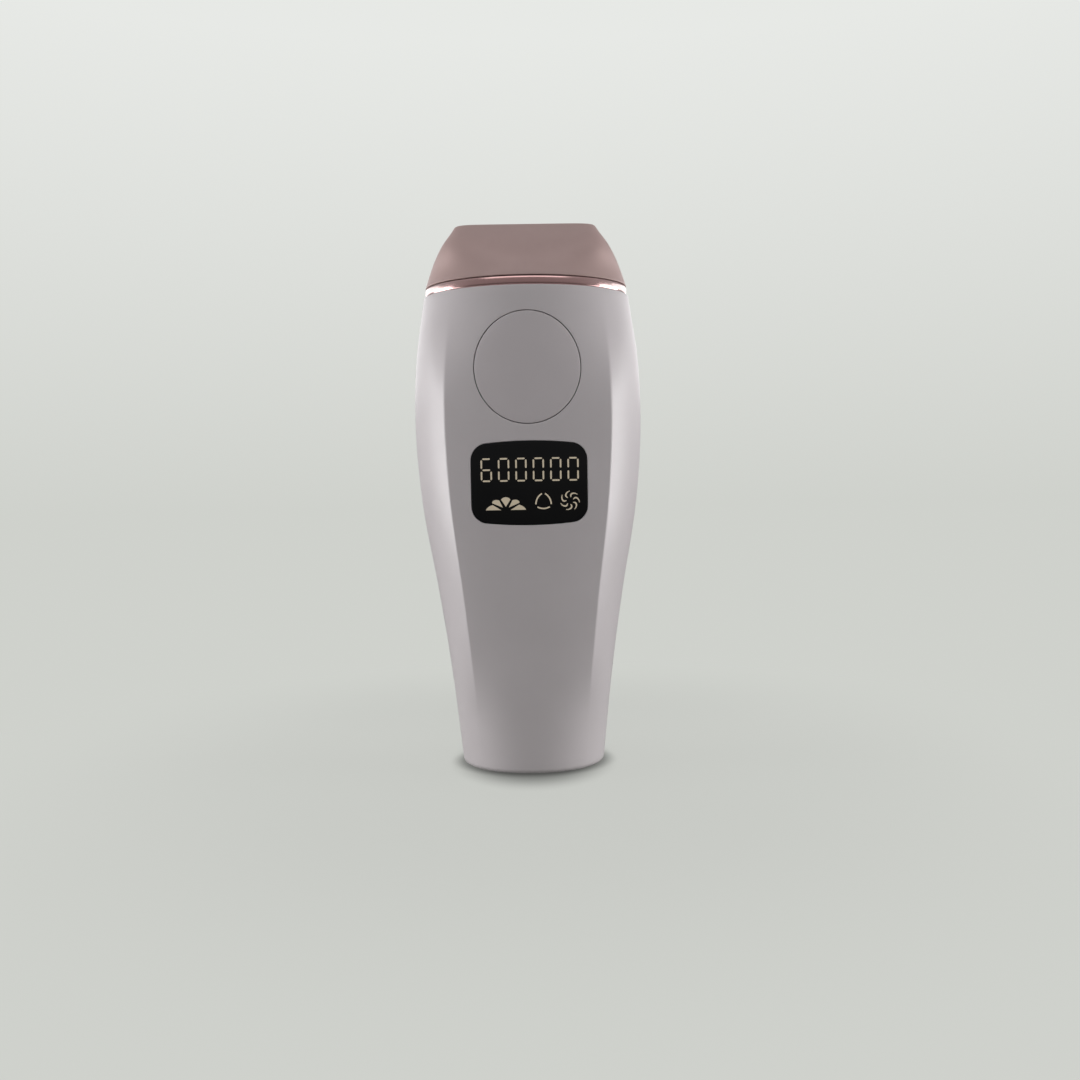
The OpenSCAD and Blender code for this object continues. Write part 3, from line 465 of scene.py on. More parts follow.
# ---------------------------------------------------------------- front shell, button and display
# Gap round a button, the hidden flange round its face, and the small radius of the edges
GAP = 0.25 * MM
FLANGE = 1.2 * MM
EDGE = 0.14 * MM
# Gap round the display, its corner radius, and how far its top and bottom bow out
DISPLAY_GAP = 0.1 * MM
DISPLAY_CORNER = 4.6 * MM
DISPLAY_BULGE = 1.3 * MM
# How far past each opening its patch of the grid reaches, across and up
BUTTON_PATCH = (1.2 * MM, 0.6 * MM)
DISPLAY_PATCH = (1.4 * MM, 1.2 * MM)

button_middle = middle_of(button_low, button_high)
button_half = (button_high - button_low) / 2
button_outline = oval_outline(button_half.x - FLANGE, button_half.z - FLANGE)
display_middle = middle_of(window_low, window_high)
display_half = (window_high - window_low) / 2
display_outline = rounded_outline(display_half.x, display_half.z, DISPLAY_CORNER, DISPLAY_BULGE)


def widened(outline, gap):
    """The same outline with a gap all round."""
    return lambda u, v, grow: outline(u, v, grow + gap)


button_hole = Hole(
    button_middle.x,
    button_middle.z,
    widened(button_outline, GAP),
    button_half.x + BUTTON_PATCH[0],
    button_half.z + BUTTON_PATCH[1],
    EDGE,
)
display_hole = Hole(
    display_middle.x,
    display_middle.z,
    widened(display_outline, DISPLAY_GAP),
    display_half.x + DISPLAY_PATCH[0],
    display_half.z + DISPLAY_PATCH[1],
    EDGE,
)
crease_columns = [CREASE_AT + CREASE_SOFT * k / 2 for k in range(-3, 4)]
front_half_columns = spread(0, crease_columns[0], PANEL_COLUMNS)[:-1] + crease_columns
front_half_columns += spread(crease_columns[-1], SIDE_END, BEVEL_COLUMNS) + SEAM_COLUMNS
side_levels = spread(BASE_FILLET, BODY_TOP - RIM_RADIUS, round(BODY_TOP / LEVEL_STEP))[:-1]

front_shell = half_shell(
    "front_shell_skin",
    front_point,
    -1,
    mirrored(front_half_columns),
    shell_rows(side_levels),
    [button_hole, display_hole],
)


PLATE_POINTS = 192
PLATE_RINGS = 14


def plate(name, skin, facing, middle, outline, inset, radius, back_y):
    """Solid filling an opening: its face follows the skin, and its rounded edge turns to a straight wall."""
    unit = [square_point(i / PLATE_POINTS) for i in range(PLATE_POINTS)]
    steps = [(k / PLATE_RINGS, radius, 0.0) for k in range(1, PLATE_RINGS)]
    steps += [(1.0, grow, depth) for grow, depth in fillet(radius)]
    loops = []
    for share, grow, depth in steps:
        loop = []
        for u, v in unit:
            x, z = outline(u, v, -grow)
            px, pz = middle.x + share * x, middle.z + share * z
            loop.append(Vector((px, skin_depth(skin, px, pz) - facing * (depth + inset), pz)))
        loops.append(loop)
    loops.append([Vector((p.x, back_y, p.z)) for p in loops[-1]])
    return loops_mesh(name, loops)


# How far the button's and the display's faces sit under the skin
PRESS_INSET = 0.04 * MM
front_button = plate(
    "front_button_face", front_point, -1, button_middle, button_outline, PRESS_INSET, EDGE, button_high.y
)
display_lens = plate(
    "display_lens", front_point, -1, display_middle, display_outline, PRESS_INSET, EDGE, window_high.y
)


# ---------------------------------------------------------------- lit marks on the display
DIGITS = 6
DIGIT_WIDTH = 3.6 * MM
DIGIT_TALL = 7.5 * MM
STROKE = 0.52 * MM
STROKE_GAP = 0.52 * MM
MIDDLE_GAP = 0.15 * MM
# How far a mark stands out of the display's face, and how far it reaches into it
MARK_PROUD = 0.03 * MM
MARK_DEEP = 0.12 * MM
# Petals of the level mark as (start angle, end angle, reach at the start, reach at the end, bulge between)
PETALS = [
    (0, 31, 1.0, 0.76, 0.02),
    (38, 66, 0.86, 0.8, 0.11),
    (73.5, 106.5, 0.82, 0.82, 0.15),
    (114, 142, 0.8, 0.86, 0.11),
    (149, 180, 0.76, 1.0, 0.02),
]
PETAL_ROOT = 0.24
PETAL_STEPS = 12
LEVEL_MARK_AT = (-7.55 * MM, -8.45 * MM)
LEVEL_MARK_REACH = (6.4 * MM, 4.2 * MM)
# Three curved strokes of the mode mark, which bow outward from its middle
MODE_MARK_AT = (4.4 * MM, -5.95 * MM)
MODE_TURNS = (30, 150, 270)
MODE_OFFSET = 2.2 * MM
MODE_RADIUS = 3.9 * MM
MODE_SWEEP = math.radians(30)
MODE_THICK = 0.46 * MM
MODE_STEPS = 5
# Curved blades of the fan mark: a blade's direction follows a parabola that crests at a share of its length
FAN_MARK_AT = (12.8 * MM, -5.8 * MM)
FAN_MARK_REACH = 3.1 * MM
BLADE_ROOT = 0.36
BLADE_BEND = 85
BLADE_LEAD = 0.35
BLADE_CREST = 0.3
BLADE_HALF = 0.08
BLADE_TAPER = 0.6
BLADE_STEPS = 8
FAN_BLADES = 7
# Which of the seven strokes are lit: top, two upper sides, middle, two lower sides, bottom
SIX = (True, True, False, True, True, True, True)
ZERO = (True, True, True, False, True, True, True)


def bar(x, z, length, upright):
    """Six-sided stroke of a digit, with pointed ends."""
    half, side = length / 2, STROKE / 2
    shape = [(-half, 0), (-half + side, -side), (half - side, -side)]
    shape += [(half, 0), (half - side, side), (-half + side, side)]
    return [(x - b, z + a) if upright else (x + a, z + b) for a, b in shape]


def digit(x, z, lit):
    """Lit strokes of a seven-stroke digit about its middle."""
    across = DIGIT_WIDTH - STROKE - STROKE_GAP
    down = (DIGIT_TALL - STROKE) / 2 - STROKE_GAP - MIDDLE_GAP
    side_x = (DIGIT_WIDTH - STROKE) / 2
    reach_z = (DIGIT_TALL - STROKE) / 2
    side_z = reach_z / 2 + MIDDLE_GAP / 2
    strokes = [
        (0, reach_z, across, False),
        (-side_x, side_z, down, True),
        (side_x, side_z, down, True),
        (0, 0, across, False),
        (-side_x, -side_z, down, True),
        (side_x, -side_z, down, True),
        (0, -reach_z, across, False),
    ]
    return [bar(x + a, z + b, length, up) for on, (a, b, length, up) in zip(lit, strokes) if on]


def petals(x, z, reach_x, reach_z):
    """Half fan of petals on a flat base, parted by gaps."""
    shapes = []
    for start, end, start_reach, end_reach, bulge in PETALS:
        shape = []
        for k in range(PETAL_STEPS + 1):
            s = k / PETAL_STEPS
            a = math.radians(mix(start, end, s))
            r = mix(start_reach, end_reach, s) + bulge * (1 - (2 * s - 1) ** 2)
            shape.append((x + reach_x * r * math.cos(a), z + reach_z * r * math.sin(a)))
        a = math.radians((start + end) / 2)
        root_z = 0 if start == 0 or end == 180 else PETAL_ROOT * reach_z * math.sin(a)
        shape.append((x + PETAL_ROOT * reach_x * math.cos(a), z + root_z))
        shapes.append(shape)
    return shapes


def mode_stroke(x, z, turn):
    """Curved stroke whose middle lies at an offset from the mark's middle, in the turn's direction."""
    shape = []
    centre_r = MODE_OFFSET - MODE_RADIUS
    steps = range(-MODE_STEPS, MODE_STEPS + 1)
    for edge, order in ((MODE_THICK / 2, steps), (-MODE_THICK / 2, steps[::-1])):
        for k in order:
            a = turn + MODE_SWEEP * k / MODE_STEPS
            r = MODE_RADIUS + edge
            px = centre_r * math.cos(turn) + r * math.cos(a)
            pz = centre_r * math.sin(turn) + r * math.sin(a)
            shape.append((x + px, z + pz))
    return shape


def blade_path(turn, reach):
    """Middle line of a fan blade: it starts near the hub and curves back as it nears the rim."""
    line = []
    for k in range(BLADE_STEPS + 1):
        s = k / BLADE_STEPS
        r = mix(BLADE_ROOT, 1, s) * reach
        a = turn + math.radians(BLADE_BEND * (BLADE_LEAD - (s - BLADE_CREST) ** 2))
        line.append(Vector((r * math.cos(a), r * math.sin(a))))
    return line


def swirl(x, z, reach, blades):
    """Fan blades as curved strokes that taper at both ends."""
    shapes = []
    for i in range(blades):
        line = blade_path(2 * math.pi * i / blades, reach)
        left, right = [], []
        for k, p in enumerate(line):
            along = (line[min(k + 1, BLADE_STEPS)] - line[max(k - 1, 0)]).normalized()
            off_middle = 2 * k / BLADE_STEPS - 1
            side = Vector((-along.y, along.x)) * BLADE_HALF * reach * (1 - BLADE_TAPER * off_middle**2)
            left.append((x + p.x + side.x, z + p.y + side.y))
            right.append((x + p.x - side.x, z + p.y - side.y))
        shapes.append(left + right[::-1])
    return shapes


def inlay(name, shapes):
    """Thin raised marks that follow the display's face."""
    points, faces = [], []
    for shape in shapes:
        start, n = len(points), len(shape)
        for lift in (MARK_PROUD, -MARK_DEEP):
            for x, z in shape:
                points.append(Vector((x, skin_depth(front_point, x, z) + PRESS_INSET - lift, z)))
        faces.append(tuple(range(start, start + n)))
        faces.append(tuple(range(start + 2 * n - 1, start + n - 1, -1)))
        for i in range(n):
            j = (i + 1) % n
            faces.append((start + i, start + j, start + n + j, start + n + i))
    return new_mesh(name, points, faces)


counter_z = marks_high.z - DIGIT_TALL / 2
counter_step = (marks_high.x - marks_low.x - DIGIT_WIDTH) / (DIGITS - 1)
counter_x = marks_low.x + DIGIT_WIDTH / 2


def mark_place(offset):
    """Place of a mark from its offset from the display's middle."""
    return display_middle.x + offset[0], display_middle.z + offset[1]


mark_shapes = []
for i in range(DIGITS):
    mark_shapes += digit(counter_x + i * counter_step, counter_z, SIX if i == 0 else ZERO)
mark_shapes += petals(*mark_place(LEVEL_MARK_AT), *LEVEL_MARK_REACH)
mark_shapes += [mode_stroke(*mark_place(MODE_MARK_AT), math.radians(turn)) for turn in MODE_TURNS]
mark_shapes += swirl(*mark_place(FAN_MARK_AT), FAN_MARK_REACH, FAN_BLADES)
display_marks = inlay("display_marks", mark_shapes)


# ---------------------------------------------------------------- rear shell, its screws and trigger
VENTS = 7
VENT_PITCH = 3.4 * MM
VENT_HALF = (12 * MM, 0.75 * MM)
WELL_GROW = 0.2 * MM
WELL_WALL = 0.8 * MM
WELL_POINTS = 48
VENT_EDGE = 0.2 * MM
VENT_PATCH = 0.8 * MM
# The ends of a vent are nearly full rounds, and its patch stops just short of its neighbours'
VENT_ROUND = 0.99
VENT_SLACK = 0.01 * MM
VENT_ROWS = 4
TOP_ROWS = 4
TRIGGER_DISH = 0.5 * MM
TRIGGER_EDGE = 0.4 * MM
TRIGGER_HOLE_EDGE = 0.5 * MM
TRIGGER_PATCH = (1.5 * MM, 1.0 * MM)
WELL_PATCH = 3.9 * MM
SCREW_HEAD_TALL = 1.8 * MM

fan_low, fan_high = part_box("fan_frame")
fan_middle = middle_of(fan_low, fan_high)
trigger_middle = middle_of(trigger_low, trigger_high)
trigger_half = (trigger_high - trigger_low) / 2
trigger_outline = oval_outline(trigger_half.x - FLANGE, trigger_half.z - FLANGE)
screws = quadrants("shell_screws")
screw_r = (screws[0][1].x - screws[0][0].x) / 2

rear_holes = [
    Hole(
        trigger_middle.x,
        trigger_middle.z,
        widened(trigger_outline, GAP),
        trigger_half.x + TRIGGER_PATCH[0],
        trigger_half.z + TRIGGER_PATCH[1],
        TRIGGER_HOLE_EDGE,
    )
]
well_r = screw_r + WELL_GROW
for low, high in screws:
    at = middle_of(low, high)
    rear_holes.append(Hole(at.x, at.z, oval_outline(well_r, well_r), WELL_PATCH, WELL_PATCH, RIM_RADIUS))
vent_levels = []
for i in range(VENTS):
    vent_z = fan_middle.z + (i - (VENTS - 1) / 2) * VENT_PITCH
    rear_holes.append(
        Hole(
            fan_middle.x,
            vent_z,
            rounded_outline(*VENT_HALF, VENT_HALF[1] * VENT_ROUND),
            VENT_HALF[0] + VENT_PATCH,
            VENT_PITCH / 2 - VENT_SLACK,
            VENT_EDGE,
        )
    )
    vent_levels += [vent_z + VENT_PITCH * (k / VENT_ROWS - 1 / 2) for k in range(VENT_ROWS)]
vent_levels.append(vent_levels[-1] + VENT_PITCH / VENT_ROWS)
back_half_columns = spread(0, SIDE_END, BACK_COLUMNS) + SEAM_COLUMNS
low_levels = spread(BASE_FILLET, vent_levels[0], round(vent_levels[0] / LEVEL_STEP))[:-1]
high_levels = spread(vent_levels[-1], BODY_TOP - RIM_RADIUS, TOP_ROWS)[:-1]
rear_shell = half_shell(
    "rear_shell_skin",
    back_point,
    1,
    mirrored(back_half_columns),
    shell_rows(low_levels + vent_levels + high_levels),
    rear_holes,
)


def dished(angle, z, inset=0.0):
    """Back skin with a shallow dish for a fingertip, deepest in the middle of the trigger."""
    p = back_point(angle, z, inset)
    off = ((p.x - trigger_middle.x) / trigger_half.x) ** 2 + ((z - trigger_middle.z) / trigger_half.z) ** 2
    p.y -= TRIGGER_DISH * max(0.0, 1 - off)
    return p


rear_trigger = plate(
    "rear_trigger_face",
    dished,
    1,
    trigger_middle,
    trigger_outline,
    HALF_DEEP - trigger_high.y,
    TRIGGER_EDGE,
    trigger_low.y,
)


def circle(middle, r, y):
    turns = [2 * math.pi * i / WELL_POINTS for i in range(WELL_POINTS)]
    return [Vector((middle.x + r * math.sin(t), y, middle.z + r * math.cos(t))) for t in turns]


wells = []
for k, (low, high) in enumerate(screws):
    at = middle_of(low, high)
    mouth_y = back_point(math.asin((abs(at.x) + screw_r) / body_half(at.z)), at.z).y - WALL / 2
    seat_y = high.y - SCREW_HEAD_TALL
    loops = [
        circle(at, well_r, mouth_y),
        circle(at, well_r, seat_y),
        circle(at, well_r / 2, seat_y),
        circle(at, well_r / 2, seat_y - WELL_WALL),
        circle(at, well_r + WELL_WALL, seat_y - WELL_WALL),
        circle(at, well_r + WELL_WALL, mouth_y),
    ]
    wells.append(loops_mesh(f"screw_well_{k + 1}", loops, capped=False))


# ---------------------------------------------------------------- trim ring and head
RING_POINTS = 200
BAND_LIFT = 0.03 * MM


def oval_loop(half_x, half_y, z):
    turns = [2 * math.pi * i / RING_POINTS for i in range(RING_POINTS)]
    return [Vector((half_x * math.sin(t), -half_y * math.cos(t), z)) for t in turns]


band_low = BODY_TOP + BAND_LIFT
# Section of the band as (inset in mm, height in mm), from its inner foot round the outside to the inner top
BAND_SECTION = [
    (3.0, 0.0), (0.9, 0.0), (0.42, 0.04), (0.2, 0.16), (0.09, 0.36), (0.03, 0.7), (0.0, 1.1), (0.0, 1.5),
    (0.0, 1.9), (0.03, 2.3), (0.09, 2.61), (0.2, 2.81), (0.42, 2.93), (0.9, 2.97), (3.0, 2.97), (3.15, 2.8),
]
# Section of the lip inside the body's rim, in the same form
LIP_SECTION = [(2.95, -2.6), (4.9, -2.6), (4.9, 0.2), (3.15, 0.3)]
ring_loops = [
    oval_loop(ring_high.x - inset * MM, ring_high.y - inset * MM, band_low + z * MM)
    for inset, z in BAND_SECTION + LIP_SECTION[::-1]
]
trim_band = loops_mesh("trim_band", ring_loops, capped=False, sharp_angle=50)

HEAD_POINTS = 224
HEAD_EDGE = 0.3 * MM
FOOT_EDGE = 0.2 * MM
MOUTH_EDGE = 0.3 * MM
MOUTH_GAP = 0.15 * MM
MOUTH_CORNER = 3.1 * MM
# Width of the strips beside the top's rounded edges, which keep the shading between them flat
TOP_HOLD = 0.12 * MM
FOOT_EDGE_STEPS = 3
HEAD_EDGE_STEPS = 5
HEAD_LEVELS = 30
LINING_LEVELS = 12
head_turns = [2 * math.pi * i / HEAD_POINTS for i in range(HEAD_POINTS)]
frame_half = (glass_frame_high - glass_frame_low) / 2


def head_loop(z, inset):
    return [head_point(t, z, inset) for t in head_turns]


def mouth_reach(sine, cosine, grow):
    """Distance from the middle to the edge of the mouth, a rounded rectangle, in a direction."""
    half_x, half_y = frame_half.x + MOUTH_GAP + grow, frame_half.y + MOUTH_GAP + grow
    r = MOUTH_CORNER + grow
    reach = 1 / max(abs(sine) / half_x, abs(cosine) / half_y)
    core_x, core_y = half_x - r, half_y - r
    if reach * abs(sine) > core_x and reach * abs(cosine) > core_y:
        along = abs(sine) * core_x + abs(cosine) * core_y
        reach = along + math.sqrt(along**2 - core_x**2 - core_y**2 + r**2)
    return reach


def mouth_loop(z, grow):
    loop = []
    for t in head_turns:
        sine, cosine = math.sin(t), -math.cos(t)
        reach = mouth_reach(sine, cosine, grow)
        loop.append(Vector((reach * sine, reach * cosine, z)))
    return loop


foot_profile = fillet(FOOT_EDGE, FOOT_EDGE_STEPS)
head_loops = [head_loop(head_low.z + grow, depth) for grow, depth in reversed(foot_profile)]
wall_top = head_high.z - HEAD_EDGE
head_loops += [head_loop(z, 0) for z in spread(head_low.z + FOOT_EDGE, wall_top, HEAD_LEVELS)]
edge_profile = fillet(HEAD_EDGE, HEAD_EDGE_STEPS)
head_loops += [head_loop(head_high.z - grow, depth) for grow, depth in edge_profile[1:]]
head_loops.append(head_loop(head_high.z, HEAD_EDGE + TOP_HOLD))
head_loops.append(mouth_loop(head_high.z, MOUTH_EDGE + TOP_HOLD))
head_loops += [mouth_loop(head_high.z - depth, grow) for grow, depth in fillet(MOUTH_EDGE)]
mouth_floor = head_high.z - HEAD_WALL
head_loops.append(mouth_loop(mouth_floor, 0))
head_loops += [
    head_loop(mix(mouth_floor, head_low.z, k / LINING_LEVELS), HEAD_WALL) for k in range(LINING_LEVELS + 1)
]
head_skin = loops_mesh("head_skin", head_loops, capped=False)


# ---------------------------------------------------------------- finishes
# Noise as (scale per metre, detail)
DRIFT_NOISE = (55, 3)
GLOSS_NOISE = (420, 4)
GRAIN_DETAIL = 2
NOISE_SPAN = (0.3, 0.7)
# Blend of the facing ramp that turns a finish toward its grazing colour: a painted highlight on top of a
# metal's own whitening at grazing angles
HIGHLIGHT_BLEND = 0.35
COAT_ROUGH = 0.25


def node_of(tree, kind, **values):
    """New shader node with the given input values."""
    made = tree.nodes.new(kind)
    for key, value in values.items():
        made.inputs[key.replace("_", " ")].default_value = value
    return made


def ramp(tree, source, span, levels, kind="LINEAR"):
    """Value that runs from the first level to the second as the source crosses its span."""
    made = node_of(
        tree, "ShaderNodeMapRange", From_Min=span[0], From_Max=span[1], To_Min=levels[0], To_Max=levels[1]
    )
    made.interpolation_type = kind
    tree.links.new(source, made.inputs["Value"])
    return made.outputs["Result"]


def tinted(tree, first, second, factor):
    """Mix of two colours, each a value or another node's output."""
    made = tree.nodes.new("ShaderNodeMix")
    made.data_type = "RGBA"
    for socket, value in ((made.inputs["A"], first), (made.inputs["B"], second)):
        if isinstance(value, bpy.types.NodeSocket):
            tree.links.new(value, socket)
        else:
            socket.default_value = (*value, 1)
    tree.links.new(factor, made.inputs["Factor"])
    return made.outputs["Result"]


def finish(
    name,
    colour,
    rough,
    metal=0.0,
    coat=0.0,
    mottle=0.04,
    grain=(2200, 0.004),
    rough_spread=0.08,
    grazing_highlight_colour=None,
    glow=0.0,
    clear=0.0,
    ior=1.5,
):
    """Procedural finish: a broad colour drift, uneven gloss and a fine relief, in the part's own space.

    grain is (scale per metre, height in mm); the colour for grazing angles, when given, is what the base
    colour turns to on faces seen side-on: a painted highlight on top of the metal's own whitening there;
    clear is how much light the material lets through.
    """
    material = bpy.data.materials.new(name)
    material.use_nodes = True
    tree = material.node_tree
    links = tree.links
    shader = tree.nodes["Principled BSDF"]
    place = tree.nodes.new("ShaderNodeTexCoord")

    def noise(scale, detail):
        made = node_of(tree, "ShaderNodeTexNoise", Scale=scale, Detail=detail)
        links.new(place.outputs["Object"], made.inputs["Vector"])
        return made.outputs["Fac"]

    darker = [c * (1 - mottle) for c in colour]
    lighter = [min(1.0, c * (1 + mottle)) for c in colour]
    shade = tinted(tree, darker, lighter, ramp(tree, noise(*DRIFT_NOISE), NOISE_SPAN, (0, 1)))
    # Painted highlight: the base colour turns toward a near-white on faces seen at grazing angles, on top of
    # the metal's own whitening there
    if grazing_highlight_colour:
        facing = node_of(tree, "ShaderNodeLayerWeight", Blend=HIGHLIGHT_BLEND)
        shade = tinted(tree, shade, grazing_highlight_colour, facing.outputs["Facing"])
    links.new(shade, shader.inputs["Base Color"])
    gloss_levels = (rough * (1 - rough_spread), rough * (1 + rough_spread))
    gloss = ramp(tree, noise(*GLOSS_NOISE), NOISE_SPAN, gloss_levels)
    links.new(gloss, shader.inputs["Roughness"])
    relief = node_of(tree, "ShaderNodeBump", Distance=grain[1] * MM, Strength=1.0)
    links.new(noise(grain[0], GRAIN_DETAIL), relief.inputs["Height"])
    links.new(relief.outputs["Normal"], shader.inputs["Normal"])
    shader.inputs["Metallic"].default_value = metal
    shader.inputs["Coat Weight"].default_value = coat
    shader.inputs["Coat Roughness"].default_value = COAT_ROUGH
    shader.inputs["IOR"].default_value = ior
    shader.inputs["Transmission Weight"].default_value = clear
    if glow:
        shader.inputs["Emission Color"].default_value = (*colour, 1)
        shader.inputs["Emission Strength"].default_value = glow
    return material


# How each of the record's material classes looks
CLASS_LOOKS = {
    "matte_plastic": {"rough": 0.48, "grain": (2600, 0.006)},
    "gloss_plastic": {"rough": 0.22, "grain": (1500, 0.002)},
    "rubber": {"rough": 0.7, "grain": (3000, 0.008)},
    "fabric": {"rough": 0.9, "grain": (2400, 0.12), "mottle": 0.25},
    "ceramic": {"rough": 0.3, "grain": (1200, 0.004)},
    "glass": {"rough": 0.06, "clear": 0.9, "grain": (600, 0.001)},
    "chrome": {"rough": 0.12, "metal": 1.0, "grain": (1800, 0.001)},
    "mirror": {"rough": 0.05, "metal": 1.0, "grain": (900, 0.0005)},
    "brass": {"rough": 0.3, "metal": 1.0, "grain": (2200, 0.003)},
    "brushed_steel": {"rough": 0.34, "metal": 1.0, "grain": (2600, 0.003)},
    "aluminium": {"rough": 0.36, "metal": 1.0, "grain": (2600, 0.004)},
}
# Finishes of the surfaces that are seen, over their class's look
OWN_LOOKS = {
    "shell_pearl": {
        "colour": (0.61, 0.565, 0.58),
        "rough": 0.4,
        "coat": 0.25,
        "mottle": 0.02,
        "grain": (2400, 0.003),
    },
    "button_pearl": {
        "colour": (0.59, 0.542, 0.558),
        "rough": 0.42,
        "coat": 0.2,
        "mottle": 0.02,
        "grain": (2400, 0.003),
    },
    "rose_satin": {
        "colour": (0.48, 0.342, 0.325),
        "rough": 0.5,
        "metal": 0.25,
        "coat": 0.1,
        "mottle": 0.03,
        "grain": (3200, 0.003),
    },
    "rose_chrome": {
        "colour": (0.64, 0.38, 0.37),
        # The band turns near-white at grazing angles toward its ends: a painted highlight on top of the
        # metal's own whitening
        "grazing_highlight_colour": (0.95, 0.88, 0.87),
        "rough": 0.2,
        "metal": 1.0,
        "mottle": 0.03,
    },
    "display_black": {"colour": (0.006, 0.006, 0.0065), "rough": 0.14, "ior": 1.3, "mottle": 0.1},
    "display_marks": {"colour": (0.56, 0.48, 0.36), "rough": 0.5, "glow": 0.27, "mottle": 0.05},
}

materials = {}
for entry in record["materials"]:
    look = {"colour": entry["base_color"][:3], **CLASS_LOOKS[entry["class"]]}
    look.update(OWN_LOOKS.get(entry["slot"], {}))
    materials[entry["slot"]] = finish(entry["slot"], **look)


def dress(piece, slot):
    piece.data.materials.clear()
    piece.data.materials.append(materials[slot])


node_slots = {part["node"]: part["material_slot"] for part in record["subparts"]}
for node, slot in node_slots.items():
    dress(frame["nodes"][node], slot)

body_of_node = {node: body for body, members in record["behaviour"]["bodies"].items() for node in members}
# Smooth pieces, each with the CAD node it stands in for
STAND_INS = [
    (front_shell, "front_shell"),
    (front_button, "front_button"),
    (display_lens, "display_window"),
    (display_marks, "display_segments"),
    (rear_shell, "rear_shell"),
    (rear_trigger, "rear_trigger"),
    (trim_band, "trim_ring"),
    (head_skin, "head_shell"),
]
for piece, node in STAND_INS:
    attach(piece, body_of_node[node])
    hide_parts(node)
    dress(piece, node_slots[node])
for well in wells:
    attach(well, body_of_node["rear_shell"])
    dress(well, node_slots["rear_shell"])

# Edges of the moulded parts that keep their CAD mesh
SOFT_EDGE = 0.15 * MM
SOFT_STEPS = 2
SOFT_ANGLE = math.radians(40)
SOFT_NODES = ["window_frame", "socket_deck", "head_socket", "cartridge_base", "window_glass", "fan_frame"]
for node in SOFT_NODES:
    softened = frame["nodes"][node].modifiers.new("soft_edge", "BEVEL")
    softened.width = SOFT_EDGE
    softened.segments = SOFT_STEPS
    softened.limit_method = "ANGLE"
    softened.angle_limit = SOFT_ANGLE


# ---------------------------------------------------------------- stage, light and camera
HORIZON = (0.625, 0.64, 0.605)
ZENITH = (0.80, 0.815, 0.79)
FLOOR_SIZE = 8.0
FLOOR_ROUGH = 0.9
FLOOR_SHEEN = 0.1
# The floor's colour is a share of the horizon's, as paint and as its own glow; it lights the part with less
FLOOR_ALBEDO = 0.3
FLOOR_GLOW = 0.69
FLOOR_LIGHT = 0.2
# Distances from the middle between which the floor turns into the plain horizon colour
FLOOR_FADE = (0.09, 0.22)
# Soft oval shade under the part, and a narrow darker line where it touches the floor
SHADE_HALF = (29.5 * MM, 42.5 * MM)
SHADE_FADE = (0.5, 1.0)
SHADE_DARK = 0.33
TOUCH_REACH = 5 * MM
TOUCH_SPAN = (0.5, 0.97)
TOUCH_DARK = 0.55
# Strength of the surround as a light, in front of the part and behind it
SURROUND = (1.0, 1.0, 1.0)
SURROUND_FRONT = 0.265
SURROUND_BACK = 0.42
SURROUND_SPAN = (-1, 0.2)
# How far up the backdrop runs from the horizon's colour to the zenith's
BACKDROP_RISE = (0, 0.4)


def make_floor():
    """Pale floor: shaded where the part meets it, and fading into the backdrop farther out."""
    bpy.ops.mesh.primitive_plane_add(size=FLOOR_SIZE)
    floor = bpy.context.object
    floor.name = "floor"
    paint = bpy.data.materials.new("floor_paint")
    paint.use_nodes = True
    tree = paint.node_tree
    links = tree.links
    near = tree.nodes["Principled BSDF"]
    near.inputs["Roughness"].default_value = FLOOR_ROUGH
    near.inputs["Specular IOR Level"].default_value = FLOOR_SHEEN
    spot = tree.nodes.new("ShaderNodeNewGeometry")

    def length_of(source, scale):
        scaled = tree.nodes.new("ShaderNodeVectorMath")
        scaled.operation = "MULTIPLY"
        scaled.inputs[1].default_value = scale
        measured = tree.nodes.new("ShaderNodeVectorMath")
        measured.operation = "LENGTH"
        links.new(source, scaled.inputs[0])
        links.new(scaled.outputs["Vector"], measured.inputs[0])
        return measured.outputs["Value"]

    def combined(operation, first, second):
        made = tree.nodes.new("ShaderNodeMath")
        made.operation = operation
        links.new(first, made.inputs[0])
        links.new(second, made.inputs[1])
        return made.outputs["Value"]

    oval = length_of(spot.outputs["Position"], (1 / SHADE_HALF[0], 1 / SHADE_HALF[1], 0))
    shade = ramp(tree, oval, SHADE_FADE, (SHADE_DARK, 1), "SMOOTHSTEP")
    touch = node_of(tree, "ShaderNodeAmbientOcclusion", Distance=TOUCH_REACH)
    touch_shade = ramp(tree, touch.outputs["AO"], TOUCH_SPAN, (TOUCH_DARK, 1))
    ray = tree.nodes.new("ShaderNodeLightPath")
    not_seen = ramp(tree, ray.outputs["Is Camera Ray"], (0, 1), (1, 0))
    open_share = combined("MAXIMUM", combined("MULTIPLY", shade, touch_shade), not_seen)
    for socket, share in (("Base Color", FLOOR_ALBEDO), ("Emission Color", FLOOR_GLOW)):
        shaded = tree.nodes.new("ShaderNodeVectorMath")
        shaded.operation = "SCALE"
        shaded.inputs[0].default_value = [c * share for c in HORIZON]
        links.new(open_share, shaded.inputs["Scale"])
        links.new(shaded.outputs["Vector"], near.inputs[socket])
    far = node_of(tree, "ShaderNodeEmission", Color=(*HORIZON, 1))
    glow = ramp(tree, ray.outputs["Is Camera Ray"], (0, 1), (FLOOR_LIGHT, 1))
    links.new(glow, near.inputs["Emission Strength"])
    links.new(glow, far.inputs["Strength"])
    blend = tree.nodes.new("ShaderNodeMixShader")
    reach = length_of(spot.outputs["Position"], (1, 1, 1))
    links.new(ramp(tree, reach, FLOOR_FADE, (0, 1), "SMOOTHSTEP"), blend.inputs["Fac"])
    links.new(near.outputs["BSDF"], blend.inputs[1])
    links.new(far.outputs["Emission"], blend.inputs[2])
    links.new(blend.outputs["Shader"], tree.nodes["Material Output"].inputs["Surface"])
    floor.data.materials.append(paint)


